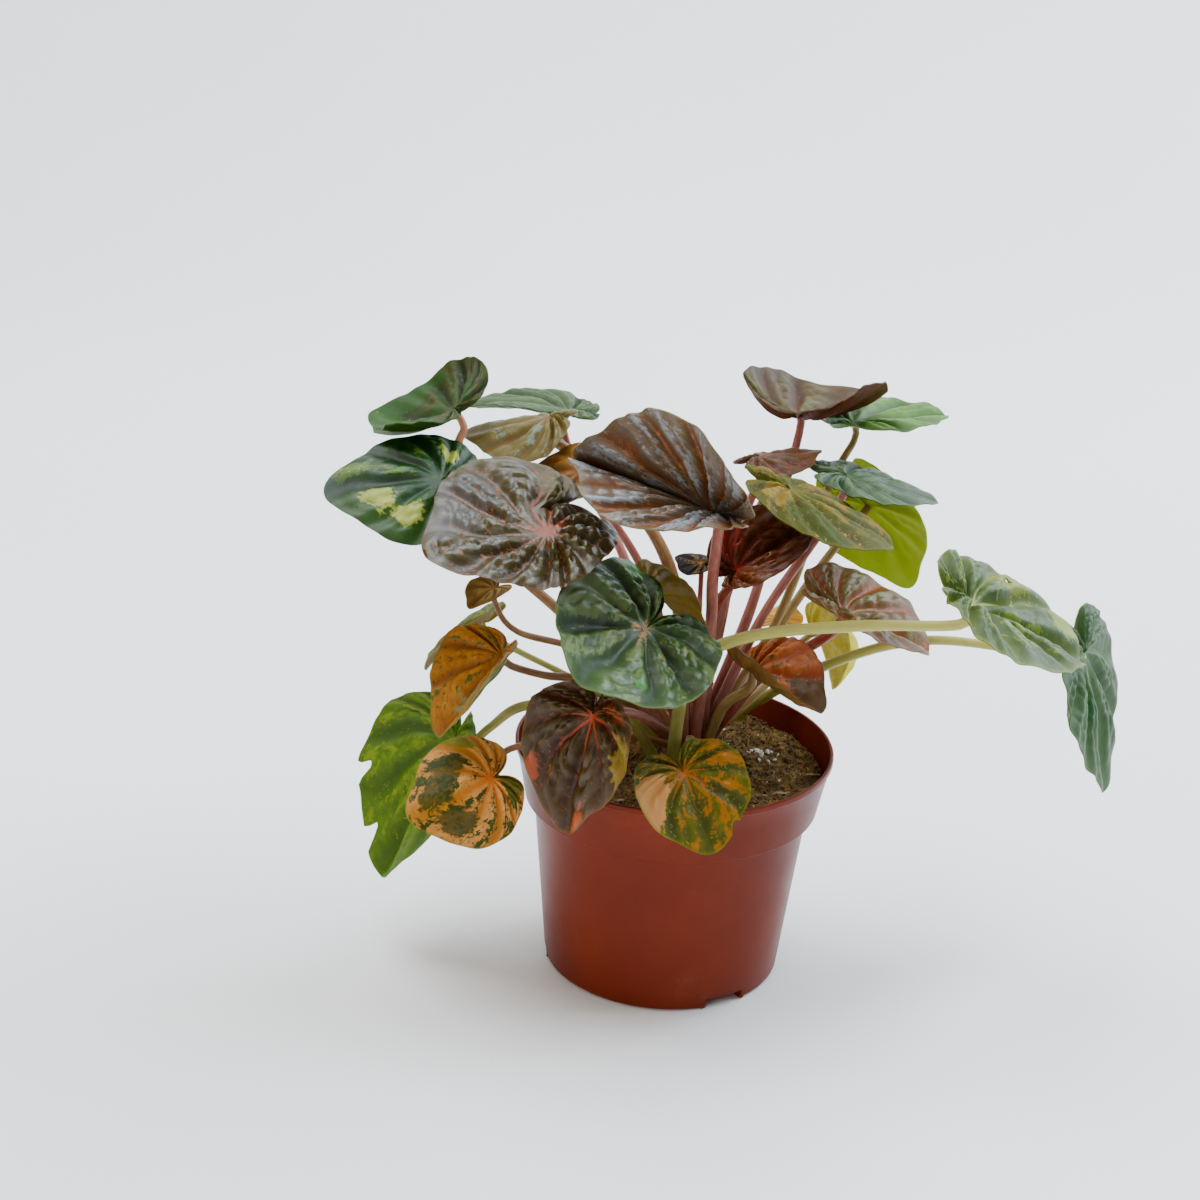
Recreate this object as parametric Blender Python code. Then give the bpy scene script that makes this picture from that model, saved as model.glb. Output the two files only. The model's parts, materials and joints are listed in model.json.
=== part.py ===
"""A ripple peperomia in its plastic nursery pot.

The origin is the centre of the pot's underside, +Z is up and the plant's fullest side faces -Y.
Sizes and places are in millimetres and degrees here, and every mesh is scaled to metres.
"""

import math
from collections import namedtuple

import bpy
import numpy as np
from mathutils import Vector

MM = 0.001
GAP = 0.3

# The pot: a 12 cm tapered nursery pot with a wide band under its rim.
POT_HEIGHT = 90.0
RIM_RADIUS = 60.0
BAND_BOTTOM_RADIUS = 55.5
BAND_BOTTOM_HEIGHT = 67.5
WALL_TOP_RADIUS = 52.0
BASE_RADIUS = 45.0
BASE_EDGE = 1.5
WALL = 1.3
FLOOR = 1.8
LIP = 0.7
POT_SIDES = 48

# Three channels under the floor carry water from the drain holes to notches in the pot's foot.
CHANNELS = 3
CHANNEL_HEADING = -58.0
CHANNEL_WIDTH = 16.0
CHANNEL_HEIGHT = 4.2
CHANNEL_START = 21.0
DRAIN_RADIUS = 3.5
DRAIN_DISTANCE = 33.0

# The soil fills the pot to a little under the rim.
SOIL_TOP = 82.0
SOIL_RIPPLE = 1.1
SOIL_SIDES = 32
SOIL_RINGS = 5

# The crown is the short stem at soil level, which all the rosy stalks grow from.
CROWN_AT = (6.0, 8.0)
CROWN_RADIUS = 11.0
CROWN_TOP = 90.0
CROWN_FOOT = 72.0
STALK_SIDES = 6
STALK_STEP = 11.0
STALK_ROOT_DEPTH = 9.0

# The blades: a heart about the point where the stalk meets it, with veins pressed in as valleys.
BLADE_THICKNESS = 0.9
HEART_BODY = 0.62
HEART_LEAN = 0.20
HEART_TIP = 0.18
ROUND_TIP = 0.06
HEART_TIP_SPREAD = math.radians(16)
HEART_SINUS = 0.30
HEART_SINUS_SPREAD = math.radians(15)
VEIN_ARCH = 0.45
RIPPLE_SHARPNESS = 1.4
RIPPLE_SHARE = 0.027
CREASE_ROUNDING = 1.0
LOBE_SHARE = 0.45

Colour = namedtuple("Colour", "name rgb roughness")
TERRACOTTA = Colour("terracotta_plastic", (0.36, 0.075, 0.035), 0.38)
PEAT = Colour("peat", (0.045, 0.026, 0.016), 0.95)
ROSE = Colour("rosy_stalk", (0.36, 0.13, 0.10), 0.45)
PALE_STALK = Colour("pale_green_stalk", (0.42, 0.42, 0.16), 0.45)
GREEN = Colour("leaf_green", (0.07, 0.16, 0.03), 0.4)
DARK_GREEN = Colour("leaf_dark_green", (0.03, 0.08, 0.04), 0.35)
PALE_GREEN = Colour("leaf_pale_green", (0.17, 0.25, 0.14), 0.45)
LIME = Colour("leaf_lime", (0.26, 0.34, 0.03), 0.45)
OLIVE = Colour("leaf_olive", (0.14, 0.12, 0.04), 0.45)
BROWN = Colour("leaf_brown", (0.13, 0.07, 0.03), 0.4)
GREY_BROWN = Colour("leaf_grey_brown", (0.10, 0.085, 0.07), 0.35)
MAROON = Colour("leaf_maroon", (0.11, 0.02, 0.012), 0.4)
ORANGE = Colour("leaf_orange", (0.42, 0.10, 0.025), 0.45)

Leaf = namedtuple(
    "Leaf",
    "name at heading pitch roll length width back fold droop curl lobes veins rings colour",
)

# Each leaf: the place where its stalk meets it; the heading of its tip, its pitch and its roll;
# the reach of its tip and its full width; the share that its lobes reach back; then the angles
# of its fold along the midrib, of its tip's droop, of its sides' curl and of its lobes' droop.
LEAVES = [
    Leaf("leaf_back_left_folded", (-89, 28, 206), 141, -30, -20, 39, 55, 0.55, 1, -41, -42, 37, 11, 4, GREEN),
    Leaf("leaf_left_green", (-91, -2, 189), -175, -3, -29, 43, 52, 0.85, 2, 14, 22, 3, 11, 4, GREEN),
    Leaf("leaf_back_left_pale", (-48, 77, 193), -179, 10, 7, 39, 49, 0.9, 11, 18, 6, -21, 11, 3, PALE_GREEN),
    Leaf("leaf_back_left_brown", (-54, 33, 204), 169, -16, -5, 35, 44, 0.75, -8, 0, 33, 10, 11, 3, BROWN),
    Leaf("leaf_left_large_brown", (-54, -28, 189), -151, -12, -18, 45, 71, 1.5, 3, 10, 13, 56, 13, 4, BROWN),
    Leaf("leaf_top_large_grey", (5, -36, 195), 143, 4, -55, 61, 74, 1.15, 76, 0, 37, -23, 13, 5, GREY_BROWN),
    Leaf("leaf_front_green", (-15, -48, 154), -124, -14, -34, 50, 61, 1.45, 1, -28, -19, 36, 11, 4, DARK_GREEN),
    Leaf("leaf_left_small_brown", (-70, -4, 149), -130, -10, -2, 14, 17, 1.0, 13, 18, -9, 11, 9, 2, BROWN),
    Leaf("leaf_back_centre_olive", (-41, 8, 192), 150, -10, -35, 24, 28, 0.9, 5, 12, 20, 0, 9, 3, OLIVE),
    Leaf("leaf_left_orange", (-66, -15, 127), -142, -44, 6, 38, 44, 0.55, 25, 2, -11, -8, 11, 4, ORANGE),
    Leaf("leaf_left_small_olive", (-75, 19, 126), 179, -33, 13, 30, 37, 0.9, 14, 23, 3, -7, 9, 3, OLIVE),
    Leaf("leaf_low_left_green", (-83, 7, 82), -146, -58, -4, 61, 67, 0.7, 27, 0, 9, -38, 11, 4, GREEN),
    Leaf("leaf_low_left_variegated", (-67, -35, 87), -153, -19, -52, 34, 48, 0.85, -14, -2, 36, 16, 11, 3, ORANGE),
    Leaf("leaf_front_dark", (-31, -55, 123), -130, -70, -4, 44, 47, 0.75, 28, 11, 18, -25, 11, 5, GREY_BROWN),
    Leaf("leaf_front_low_variegated", (2, -55, 103), -55, -41, 16, 31, 42, 0.95, 8, 26, -7, 22, 11, 3, OLIVE),
    Leaf("leaf_centre_brown", (-12, -10, 155), -17, -38, -32, 26, 43, 1.1, 26, -6, 13, 6, 9, 3, BROWN),
    Leaf("leaf_back_small_olive", (7, 39, 147), 146, 4, -13, 12, 15, 1.05, 3, 8, 26, -11, 9, 2, OLIVE),
    Leaf("leaf_right_dark_red", (18, -8, 163), 31, 26, 34, 37, 37, 0.8, 42, 16, 1, -18, 11, 4, MAROON),
    Leaf("leaf_back_right_maroon", (26, 34, 193), 24, 6, -6, 26, 32, 0.95, -11, 9, 7, 18, 9, 3, MAROON),
    Leaf("leaf_right_yellow_green", (35, -10, 195), -3, -17, 0, 49, 54, 0.94, 1, 20, 20, -1, 11, 4, LIME),
    Leaf("leaf_right_grey_green", (59, 30, 188), 4, -10, -1, 36, 45, 1.05, 0, 6, 4, 4, 11, 3, PALE_GREEN),
    Leaf("leaf_top_right_folded", (41, 54, 204), 48, -4, -7, 42, 65, 0.55, 0, -17, -53, -39, 11, 3, BROWN),
    Leaf("leaf_top_right_pale", (64, 70, 197), 13, 1, -4, 44, 52, 1.02, 19, -6, 22, -19, 11, 3, PALE_GREEN),
    Leaf("leaf_back_right_lime", (72, 68, 164), 3, -57, -54, 38, 46, 1.55, -2, 8, 17, 5, 11, 3, LIME),
    Leaf("leaf_right_folded", (60, 8, 142), -4, -25, 4, 41, 53, 1.26, 35, -6, 36, 6, 11, 3, OLIVE),
    Leaf("leaf_far_right_variegated", (100, -32, 163), 4, -26, 9, 54, 64, 0.86, 29, 0, 46, -10, 11, 4, GREEN),
    Leaf("leaf_far_right_hanging", (148, -2, 135), -6, -70, 20, 58, 55, 0.75, 1, 10, -1, -6, 11, 4, DARK_GREEN),
    Leaf("leaf_centre_small_lime", (38, 45, 124), 68, 22, -16, 11, 20, 1.0, 1, 18, 40, -1, 9, 2, LIME),
    Leaf("leaf_right_low_olive", (55, 57, 114), -41, -43, -38, 24, 40, 1.25, 44, 32, 9, -2, 9, 3, OLIVE),
    Leaf("leaf_right_low_orange", (28, 5, 118), -54, -9, -6, 40, 42, 0.7, 31, -14, -25, -13, 11, 3, ORANGE),
]
LEAF = {leaf.name: leaf for leaf in LEAVES}

# These blades end in a round tip; the others are drawn out to a short point.
ROUND_TIPS = (
    "leaf_right_folded",
    "leaf_right_yellow_green",
    "leaf_top_right_pale",
    "leaf_far_right_variegated",
)

Stalk = namedtuple("Stalk", "leaf root through foot_radius top_radius")

# Each stalk: its leaf, where it leaves the crown or the soil, the places that it passes, and
# its radius at the foot and at the leaf.
ROSY_STALKS = [
    Stalk("leaf_back_left_folded", (0, 10), [(-31, 21, 134), (-82, 24, 185)], 2.4, 1.5),
    Stalk("leaf_left_green", (-1, 8), [(-40, 4, 133), (-83, 3, 169)], 2.4, 1.6),
    Stalk("leaf_back_left_pale", (3, 12), [(-22, 34, 148), (-42, 64, 173)], 2.2, 1.4),
    Stalk("leaf_back_left_brown", (4, 10), [(-4, 14, 149), (-26, 26, 180)], 2.6, 2.0),
    Stalk("leaf_left_large_brown", (-1, 6), [(-30, -6, 130), (-46, -11, 158)], 2.6, 1.8),
    Stalk("leaf_top_large_grey", (7, 4), [(10, -3, 136), (9, -15, 162)], 2.4, 1.8),
    Stalk("leaf_front_green", (3, 2), [(0, -6, 115)], 2.4, 1.7),
    Stalk("leaf_left_small_brown", (0, 9), [(-30, 4, 120), (-61, 0, 131)], 1.6, 1.1),
    Stalk("leaf_back_centre_olive", (2, 11), [(-12, 14, 145)], 1.9, 1.3),
    Stalk("leaf_left_orange", (-1, 7), [(-28, 0, 111), (-50, -7, 117)], 1.8, 1.3),
    Stalk("leaf_low_left_variegated", (-1, 4), [(-23, -9, 95), (-61, -17, 91)], 1.7, 1.2),
    Stalk("leaf_front_dark", (2, 3), [(-5, -12, 100), (-18, -34, 116)], 2.2, 1.6),
    Stalk("leaf_front_low_variegated", (6, 1), [(5, -16, 98)], 1.9, 1.3),
    Stalk("leaf_centre_brown", (4, 5), [(-1, 6, 116), (-17, -8, 145)], 1.9, 1.3),
    Stalk("leaf_back_small_olive", (6, 14), [(7, 26, 120)], 1.3, 0.9),
    Stalk("leaf_right_dark_red", (9, 6), [(11, 7, 137)], 2.2, 1.5),
    Stalk("leaf_back_right_maroon", (8, 11), [(15, 20, 131), (20, 31, 165)], 2.4, 1.5),
    Stalk("leaf_right_yellow_green", (10, 8), [(13, 12, 133), (27, 8, 185)], 2.6, 1.7),
    Stalk("leaf_right_grey_green", (11, 10), [(30, 20, 133), (51, 33, 165)], 2.2, 1.4),
    Stalk("leaf_top_right_folded", (9, 13), [(26, 27, 133), (35, 46, 167)], 2.4, 1.4),
    Stalk("leaf_top_right_pale", (11, 13), [(37, 32, 128), (55, 56, 176)], 2.2, 1.4),
    Stalk("leaf_back_right_lime", (12, 12), [(33, 30, 117), (54, 50, 145)], 2.2, 1.5),
    Stalk("leaf_right_folded", (12, 9), [(30, 14, 111), (46, 15, 123)], 2.6, 1.8),
    Stalk("leaf_centre_small_lime", (10, 14), [(24, 33, 103), (31, 40, 107)], 1.4, 1.0),
    Stalk("leaf_right_low_olive", (12, 12), [(34, 30, 101)], 1.9, 1.3),
    Stalk("leaf_right_low_orange", (12, 6), [(18, 6, 103)], 2.2, 1.6),
]
PALE_STALKS = [
    Stalk("leaf_left_small_olive", (-8, 13), [(-36, 12, 106), (-60, 9, 119)], 1.5, 1.1),
    Stalk("leaf_low_left_green", (-8, -8), [(-24, -7, 106), (-56, 3, 100), (-70, 12, 86)], 2.2, 1.6),
    Stalk(
        "leaf_far_right_variegated",
        (-1, -20),
        [(0, -21, 112), (4, -22, 132), (25, -23, 144), (62, -28, 152)],
        2.4,
        1.8,
    ),
    Stalk("leaf_far_right_hanging", (28, 39), [(60, 30, 113), (94, 14, 131)], 2.2, 1.6),
]


def clear_scene():
    for obj in list(bpy.data.objects):
        bpy.data.objects.remove(obj, do_unlink=True)


def material(colour):
    found = bpy.data.materials.get(colour.name)
    if found:
        return found
    made = bpy.data.materials.new(colour.name)
    made.use_nodes = True
    shader = made.node_tree.nodes["Principled BSDF"]
    shader.inputs["Base Color"].default_value = (*colour.rgb, 1)
    shader.inputs["Roughness"].default_value = colour.roughness
    shader.inputs["Metallic"].default_value = 0.0
    made.diffuse_color = (*colour.rgb, 1)
    return made


def add_object(name, points, faces, colour=None, smooth_angle=None, at=(0, 0, 0)):
    """An object of these points (mm) and faces, its origin placed at the given point (mm)."""
    mesh = bpy.data.meshes.new(name)
    mesh.from_pydata((np.asarray(points, float) * MM).tolist(), [], [list(face) for face in faces])
    mesh.validate()
    if colour:
        mesh.materials.append(material(colour))
    if smooth_angle:
        mesh.shade_smooth()
        mesh.set_sharp_from_angle(angle=math.radians(smooth_angle))
    obj = bpy.data.objects.new(name, mesh)
    obj.location = Vector(at) * MM
    bpy.context.scene.collection.objects.link(obj)
    return obj


def heart_reach(leaf, angle):
    """The reach of the blade's edge in a direction from its stalk, as a share of its length."""
    off_tip = np.abs((angle + math.pi) % (2 * math.pi) - math.pi)
    body = HEART_BODY + HEART_LEAN * np.cos(off_tip)
    drawn_out = ROUND_TIP if leaf.name in ROUND_TIPS else HEART_TIP
    tip = drawn_out * np.exp(-((off_tip / HEART_TIP_SPREAD) ** 2))
    sinus = HEART_SINUS * np.exp(-(((math.pi - off_tip) / HEART_SINUS_SPREAD) ** 2))
    return body + tip - sinus


def ripple(leaf, share, angle):
    """The height of the puffed ridges over the veins, which run out from the stalk."""
    vein = np.cos(leaf.veins * angle / 2) ** 2
    rise = np.clip((share - 0.05) / 0.4, 0, 1)
    swell = rise * rise * (3 - 2 * rise) * (1 - 0.35 * share**3)
    return RIPPLE_SHARE * leaf.length * swell * (1 - 2 * vein**RIPPLE_SHARPNESS)


def blade_surface(leaf, share, angle, height):
    """Points on the blade in its own frame: the tip along +X, and its upper face up."""
    turned = angle * (1 + VEIN_ARCH * (1 - share) * (1 - (angle / math.pi) ** 2))
    reach = heart_reach(leaf, turned) * share
    x = leaf.length * reach * np.cos(turned)
    x = np.where(x < 0, x * leaf.back, x)
    y = leaf.width / (2 * HEART_BODY) * reach * np.sin(turned)
    across = np.abs(y)
    slope = math.radians(leaf.fold) - math.radians(leaf.curl) * across / leaf.width
    raised = (np.sqrt(across**2 + CREASE_ROUNDING**2) - CREASE_ROUNDING) * np.sin(slope) + height
    y = y * np.cos(slope)
    back_reach = LOBE_SHARE * leaf.length * leaf.back
    tip_bend = math.radians(leaf.droop) * x / leaf.length
    lobe_bend = -math.radians(leaf.lobes) * x / back_reach
    bend = np.where(x > 0, tip_bend, lobe_bend)
    z = raised * np.cos(bend) - np.abs(x) * np.sin(bend / 2)
    x = x * np.cos(bend / 2) + np.sign(x) * raised * np.sin(bend)
    return np.stack([x, y, z], axis=-1)


def leaf_axes(leaf):
    """The blade's own X, Y and Z axes as the columns of a matrix."""
    heading, pitch, roll = (math.radians(value) for value in (leaf.heading, leaf.pitch, leaf.roll))
    turn = np.array(
        [
            [math.cos(heading), -math.sin(heading), 0],
            [math.sin(heading), math.cos(heading), 0],
            [0, 0, 1],
        ]
    )
    tilt = np.array(
        [[math.cos(pitch), 0, -math.sin(pitch)], [0, 1, 0], [math.sin(pitch), 0, math.cos(pitch)]]
    )
    bank = np.array(
        [[1, 0, 0], [0, math.cos(roll), -math.sin(roll)], [0, math.sin(roll), math.cos(roll)]]
    )
    return turn @ tilt @ bank


def blade_normals(leaf, share, angle):
    """Unit normals of the blade without its ripple."""
    step = 1e-3
    inner = np.clip(share, 0.15, 1 - step)
    along = blade_surface(leaf, inner + step, angle, 0) - blade_surface(leaf, inner, angle, 0)
    around = blade_surface(leaf, inner, angle + step, 0) - blade_surface(leaf, inner, angle, 0)
    normals = np.cross(along, around)
    return normals / np.linalg.norm(normals, axis=-1, keepdims=True)


def blade_sheets(leaf):
    """The upper and lower points of the blade: the centre first, then its rings from the inside."""
    sectors = 2 * leaf.veins
    angles = np.tile(np.arange(sectors) * 2 * math.pi / sectors - math.pi, leaf.rings)
    angles = (angles + math.pi) % (2 * math.pi) - math.pi
    shares = np.repeat(np.arange(1, leaf.rings + 1) / leaf.rings, sectors)
    normals = blade_normals(leaf, shares, angles)
    middle = blade_surface(leaf, shares, angles, ripple(leaf, shares, angles))
    centre = np.zeros((1, 3))
    centre_normal = np.array([[0.0, 0.0, 1.0]])
    middle = np.concatenate([centre, middle])
    normals = np.concatenate([centre_normal, normals])
    half = BLADE_THICKNESS / 2
    return middle + half * normals, middle - half * normals


def blade_faces(sectors, rings):
    """Triangles of one sheet, the same on both faces, and the ring of points at its edge."""
    faces = [(0, 1 + k, 1 + (k + 1) % sectors) for k in range(sectors)]
    for ring in range(rings - 1):
        inner = 1 + ring * sectors
        outer = inner + sectors
        for k in range(sectors):
            after = (k + 1) % sectors
            faces.append((inner + k, outer + k, outer + after))
            faces.append((inner + k, outer + after, inner + after))
    edge = [1 + (rings - 1) * sectors + k for k in range(sectors)]
    return faces, edge


def add_leaf(leaf):
    upper, lower = blade_sheets(leaf)
    faces, edge = blade_faces(2 * leaf.veins, leaf.rings)
    count = len(upper)
    under = [(a + count, c + count, b + count) for a, b, c in faces]
    rim = []
    for k, here in enumerate(edge):
        after = edge[(k + 1) % len(edge)]
        rim.append((after, here, here + count))
        rim.append((after, here + count, after + count))
    points = np.concatenate([upper, lower]) @ leaf_axes(leaf).T
    return add_object(leaf.name, points, faces + under + rim, leaf.colour, 60, leaf.at)


def smooth_route(points, step):
    """Points at about the given step along a smooth curve through the given points."""
    points = [np.array(point, float) for point in points]
    ends = [2 * points[0] - points[1]] + points + [2 * points[-1] - points[-2]]
    route = []
    for a, b, c, d in zip(ends, ends[1:], ends[2:], ends[3:]):
        count = max(1, round(np.linalg.norm(c - b) / step))
        for k in range(count):
            t = k / count
            curve = (2 * a - 5 * b + 4 * c - d) * t**2 + (3 * b - a - 3 * c + d) * t**3
            route.append(0.5 * (2 * b + (c - a) * t + curve))
    route.append(points[-1])
    return np.array(route)


def stalk_route(stalk, foot_height):
    """From the foot, up through the places that the stalk passes, to just under its blade."""
    leaf = LEAF[stalk.leaf]
    under = -leaf_axes(leaf)[:, 2]
    dip = stalk.top_radius * max(0.1, math.sin(math.radians(-leaf.fold))) + 0.2 * RIPPLE_SHARE * leaf.length
    top = np.array(leaf.at) + under * (BLADE_THICKNESS / 2 + GAP + dip)
    bend = np.array(leaf.at) + under * (4 * stalk.top_radius + 1)
    foot = (*stalk.root, foot_height)
    return smooth_route([foot, *stalk.through, bend, top], STALK_STEP)


def tube(route, radii, sides):
    """Points and faces of a closed tube along the route."""
    tangents = np.gradient(route, axis=0)
    tangents /= np.linalg.norm(tangents, axis=1, keepdims=True)
    side = np.cross(tangents[0], (0.0, 1.0, 0.2))
    turns = np.arange(sides) * 2 * math.pi / sides
    points = []
    for place, tangent, radius in zip(route, tangents, radii):
        side = side - tangent * np.dot(side, tangent)
        side /= np.linalg.norm(side)
        other = np.cross(tangent, side)
        ring = np.outer(np.cos(turns), side) + np.outer(np.sin(turns), other)
        points.append(place + radius * ring)
    faces = []
    for row in range(len(route) - 1):
        for k in range(sides):
            here = row * sides + k
            after = row * sides + (k + 1) % sides
            faces.append((here, after, after + sides, here + sides))
    faces.append(tuple(reversed(range(sides))))
    last = (len(route) - 1) * sides
    faces.append(tuple(range(last, last + sides)))
    return np.concatenate(points), faces


def stalk_tube(stalk, foot_height):
    route = stalk_route(stalk, foot_height)
    radii = np.linspace(stalk.foot_radius, stalk.top_radius, len(route))
    return tube(route, radii, STALK_SIDES)


def turned(profile, sides):
    """Points and faces of a closed solid turned from (radius, height) pairs, listed from the top
    down the outside and back up the inside. A pair with no radius is a point on the axis."""
    points = []
    rows = []
    for radius, height in profile:
        if radius == 0:
            rows.append([len(points)] * sides)
            points.append((0, 0, height))
            continue
        rows.append([len(points) + k for k in range(sides)])
        for k in range(sides):
            turn = 2 * math.pi * k / sides
            points.append((radius * math.cos(turn), radius * math.sin(turn), height))
    faces = []
    for row, below in zip(rows, rows[1:] + rows[:1]):
        for k in range(sides):
            after = (k + 1) % sides
            corners = (row[k], below[k], below[after], row[after])
            face = tuple(dict.fromkeys(corners))
            if len(face) > 2:
                faces.append(face)
    return points, faces


def wedge(name, inner, outer, half_width, bottom, top, heading):
    """A bar that runs out from the axis at the given heading."""
    out = Vector((math.cos(math.radians(heading)), math.sin(math.radians(heading)), 0))
    side = Vector((-out.y, out.x, 0))
    points = []
    for height in (bottom, top):
        for reach, across in ((inner, -1), (outer, -1), (outer, 1), (inner, 1)):
            points.append(out * reach + side * half_width * across + Vector((0, 0, height)))
    faces = [(3, 2, 1, 0), (4, 5, 6, 7), (0, 1, 5, 4), (1, 2, 6, 5), (2, 3, 7, 6), (3, 0, 4, 7)]
    return add_object(name, [tuple(point) for point in points], faces)


def combine(target, others, operation, solver="EXACT"):
    """Joins or cuts the target with the other objects, which are then removed."""
    group = bpy.data.collections.new(target.name + "_tools")
    bpy.context.scene.collection.children.link(group)
    for obj in others:
        bpy.context.scene.collection.objects.unlink(obj)
        group.objects.link(obj)
    modifier = target.modifiers.new(operation.lower(), "BOOLEAN")
    modifier.operation = operation
    modifier.operand_type = "COLLECTION"
    modifier.collection = group
    modifier.solver = solver
    bpy.context.view_layer.update()
    graph = bpy.context.evaluated_depsgraph_get()
    result = bpy.data.meshes.new_from_object(target.evaluated_get(graph))
    target.modifiers.clear()
    old = target.data
    target.data = result
    bpy.data.meshes.remove(old)
    for obj in list(group.objects):
        bpy.data.objects.remove(obj, do_unlink=True)
    bpy.data.collections.remove(group)


def outer_radius(height):
    """The pot's outer radius below the band."""
    return BASE_RADIUS + (WALL_TOP_RADIUS - BASE_RADIUS) * height / BAND_BOTTOM_HEIGHT


def band_radius(height):
    share = (height - BAND_BOTTOM_HEIGHT) / (POT_HEIGHT - BAND_BOTTOM_HEIGHT)
    return BAND_BOTTOM_RADIUS + (RIM_RADIUS - BAND_BOTTOM_RADIUS) * share


def channel_headings():
    return [CHANNEL_HEADING + k * 360 / CHANNELS for k in range(CHANNELS)]


def channel_bars(extra, top):
    """The raised roofs over the drain channels, with their walls grown by the extra width."""
    return [
        wedge(
            "channel_roof",
            CHANNEL_START - WALL - extra,
            BASE_RADIUS - WALL / 2 + extra,
            CHANNEL_WIDTH / 2 + WALL + extra,
            0.4,
            top,
            heading,
        )
        for heading in channel_headings()
    ]


def add_pot():
    shelf = BAND_BOTTOM_HEIGHT + WALL
    profile = [
        (RIM_RADIUS - WALL, POT_HEIGHT),
        (RIM_RADIUS - 0.4, POT_HEIGHT),
        (RIM_RADIUS, POT_HEIGHT - 0.5),
        (RIM_RADIUS, POT_HEIGHT - 2.0),
        (RIM_RADIUS - LIP, POT_HEIGHT - 2.6),
        (BAND_BOTTOM_RADIUS, BAND_BOTTOM_HEIGHT + 0.5),
        (BAND_BOTTOM_RADIUS - 0.5, BAND_BOTTOM_HEIGHT),
        (WALL_TOP_RADIUS, BAND_BOTTOM_HEIGHT),
        (outer_radius(BASE_EDGE), BASE_EDGE),
        (BASE_RADIUS - BASE_EDGE, 0),
        (0, 0),
        (0, FLOOR),
        (BASE_RADIUS - WALL - 1.0, FLOOR),
        (outer_radius(FLOOR + 1.0) - WALL, FLOOR + 1.0),
        (WALL_TOP_RADIUS - WALL, shelf),
        (BAND_BOTTOM_RADIUS - WALL, shelf),
    ]
    points, faces = turned(profile, POT_SIDES)
    pot = add_object("pot", points, faces)
    combine(pot, channel_bars(0, CHANNEL_HEIGHT + WALL), "UNION")
    cutters = []
    for heading in channel_headings():
        cutters.append(
            wedge("channel", CHANNEL_START, RIM_RADIUS, CHANNEL_WIDTH / 2, -1, CHANNEL_HEIGHT, heading)
        )
        drain, drain_faces = turned(
            [(0, 2 * CHANNEL_HEIGHT), (DRAIN_RADIUS, 2 * CHANNEL_HEIGHT), (DRAIN_RADIUS, 1), (0, 1)], 16
        )
        turn = math.radians(heading)
        place = (DRAIN_DISTANCE * math.cos(turn), DRAIN_DISTANCE * math.sin(turn), 0)
        cutters.append(add_object("drain", drain, drain_faces, at=place))
    combine(pot, cutters, "DIFFERENCE")
    pot.data.materials.append(material(TERRACOTTA))
    pot.data.shade_smooth()
    pot.data.set_sharp_from_angle(angle=math.radians(35))
    return pot


def soil_height(x, y):
    """The lumpy top of the soil, heaped a little against the crown."""
    away = np.hypot(x - CROWN_AT[0], y - CROWN_AT[1])
    lumps = np.sin(0.23 * x + 1.3) * np.cos(0.19 * y - 0.4) + 0.6 * np.sin(0.11 * x - 0.31 * y)
    return SOIL_TOP + SOIL_RIPPLE * lumps + 0.8 * np.exp(-((away / 22) ** 2))


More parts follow.
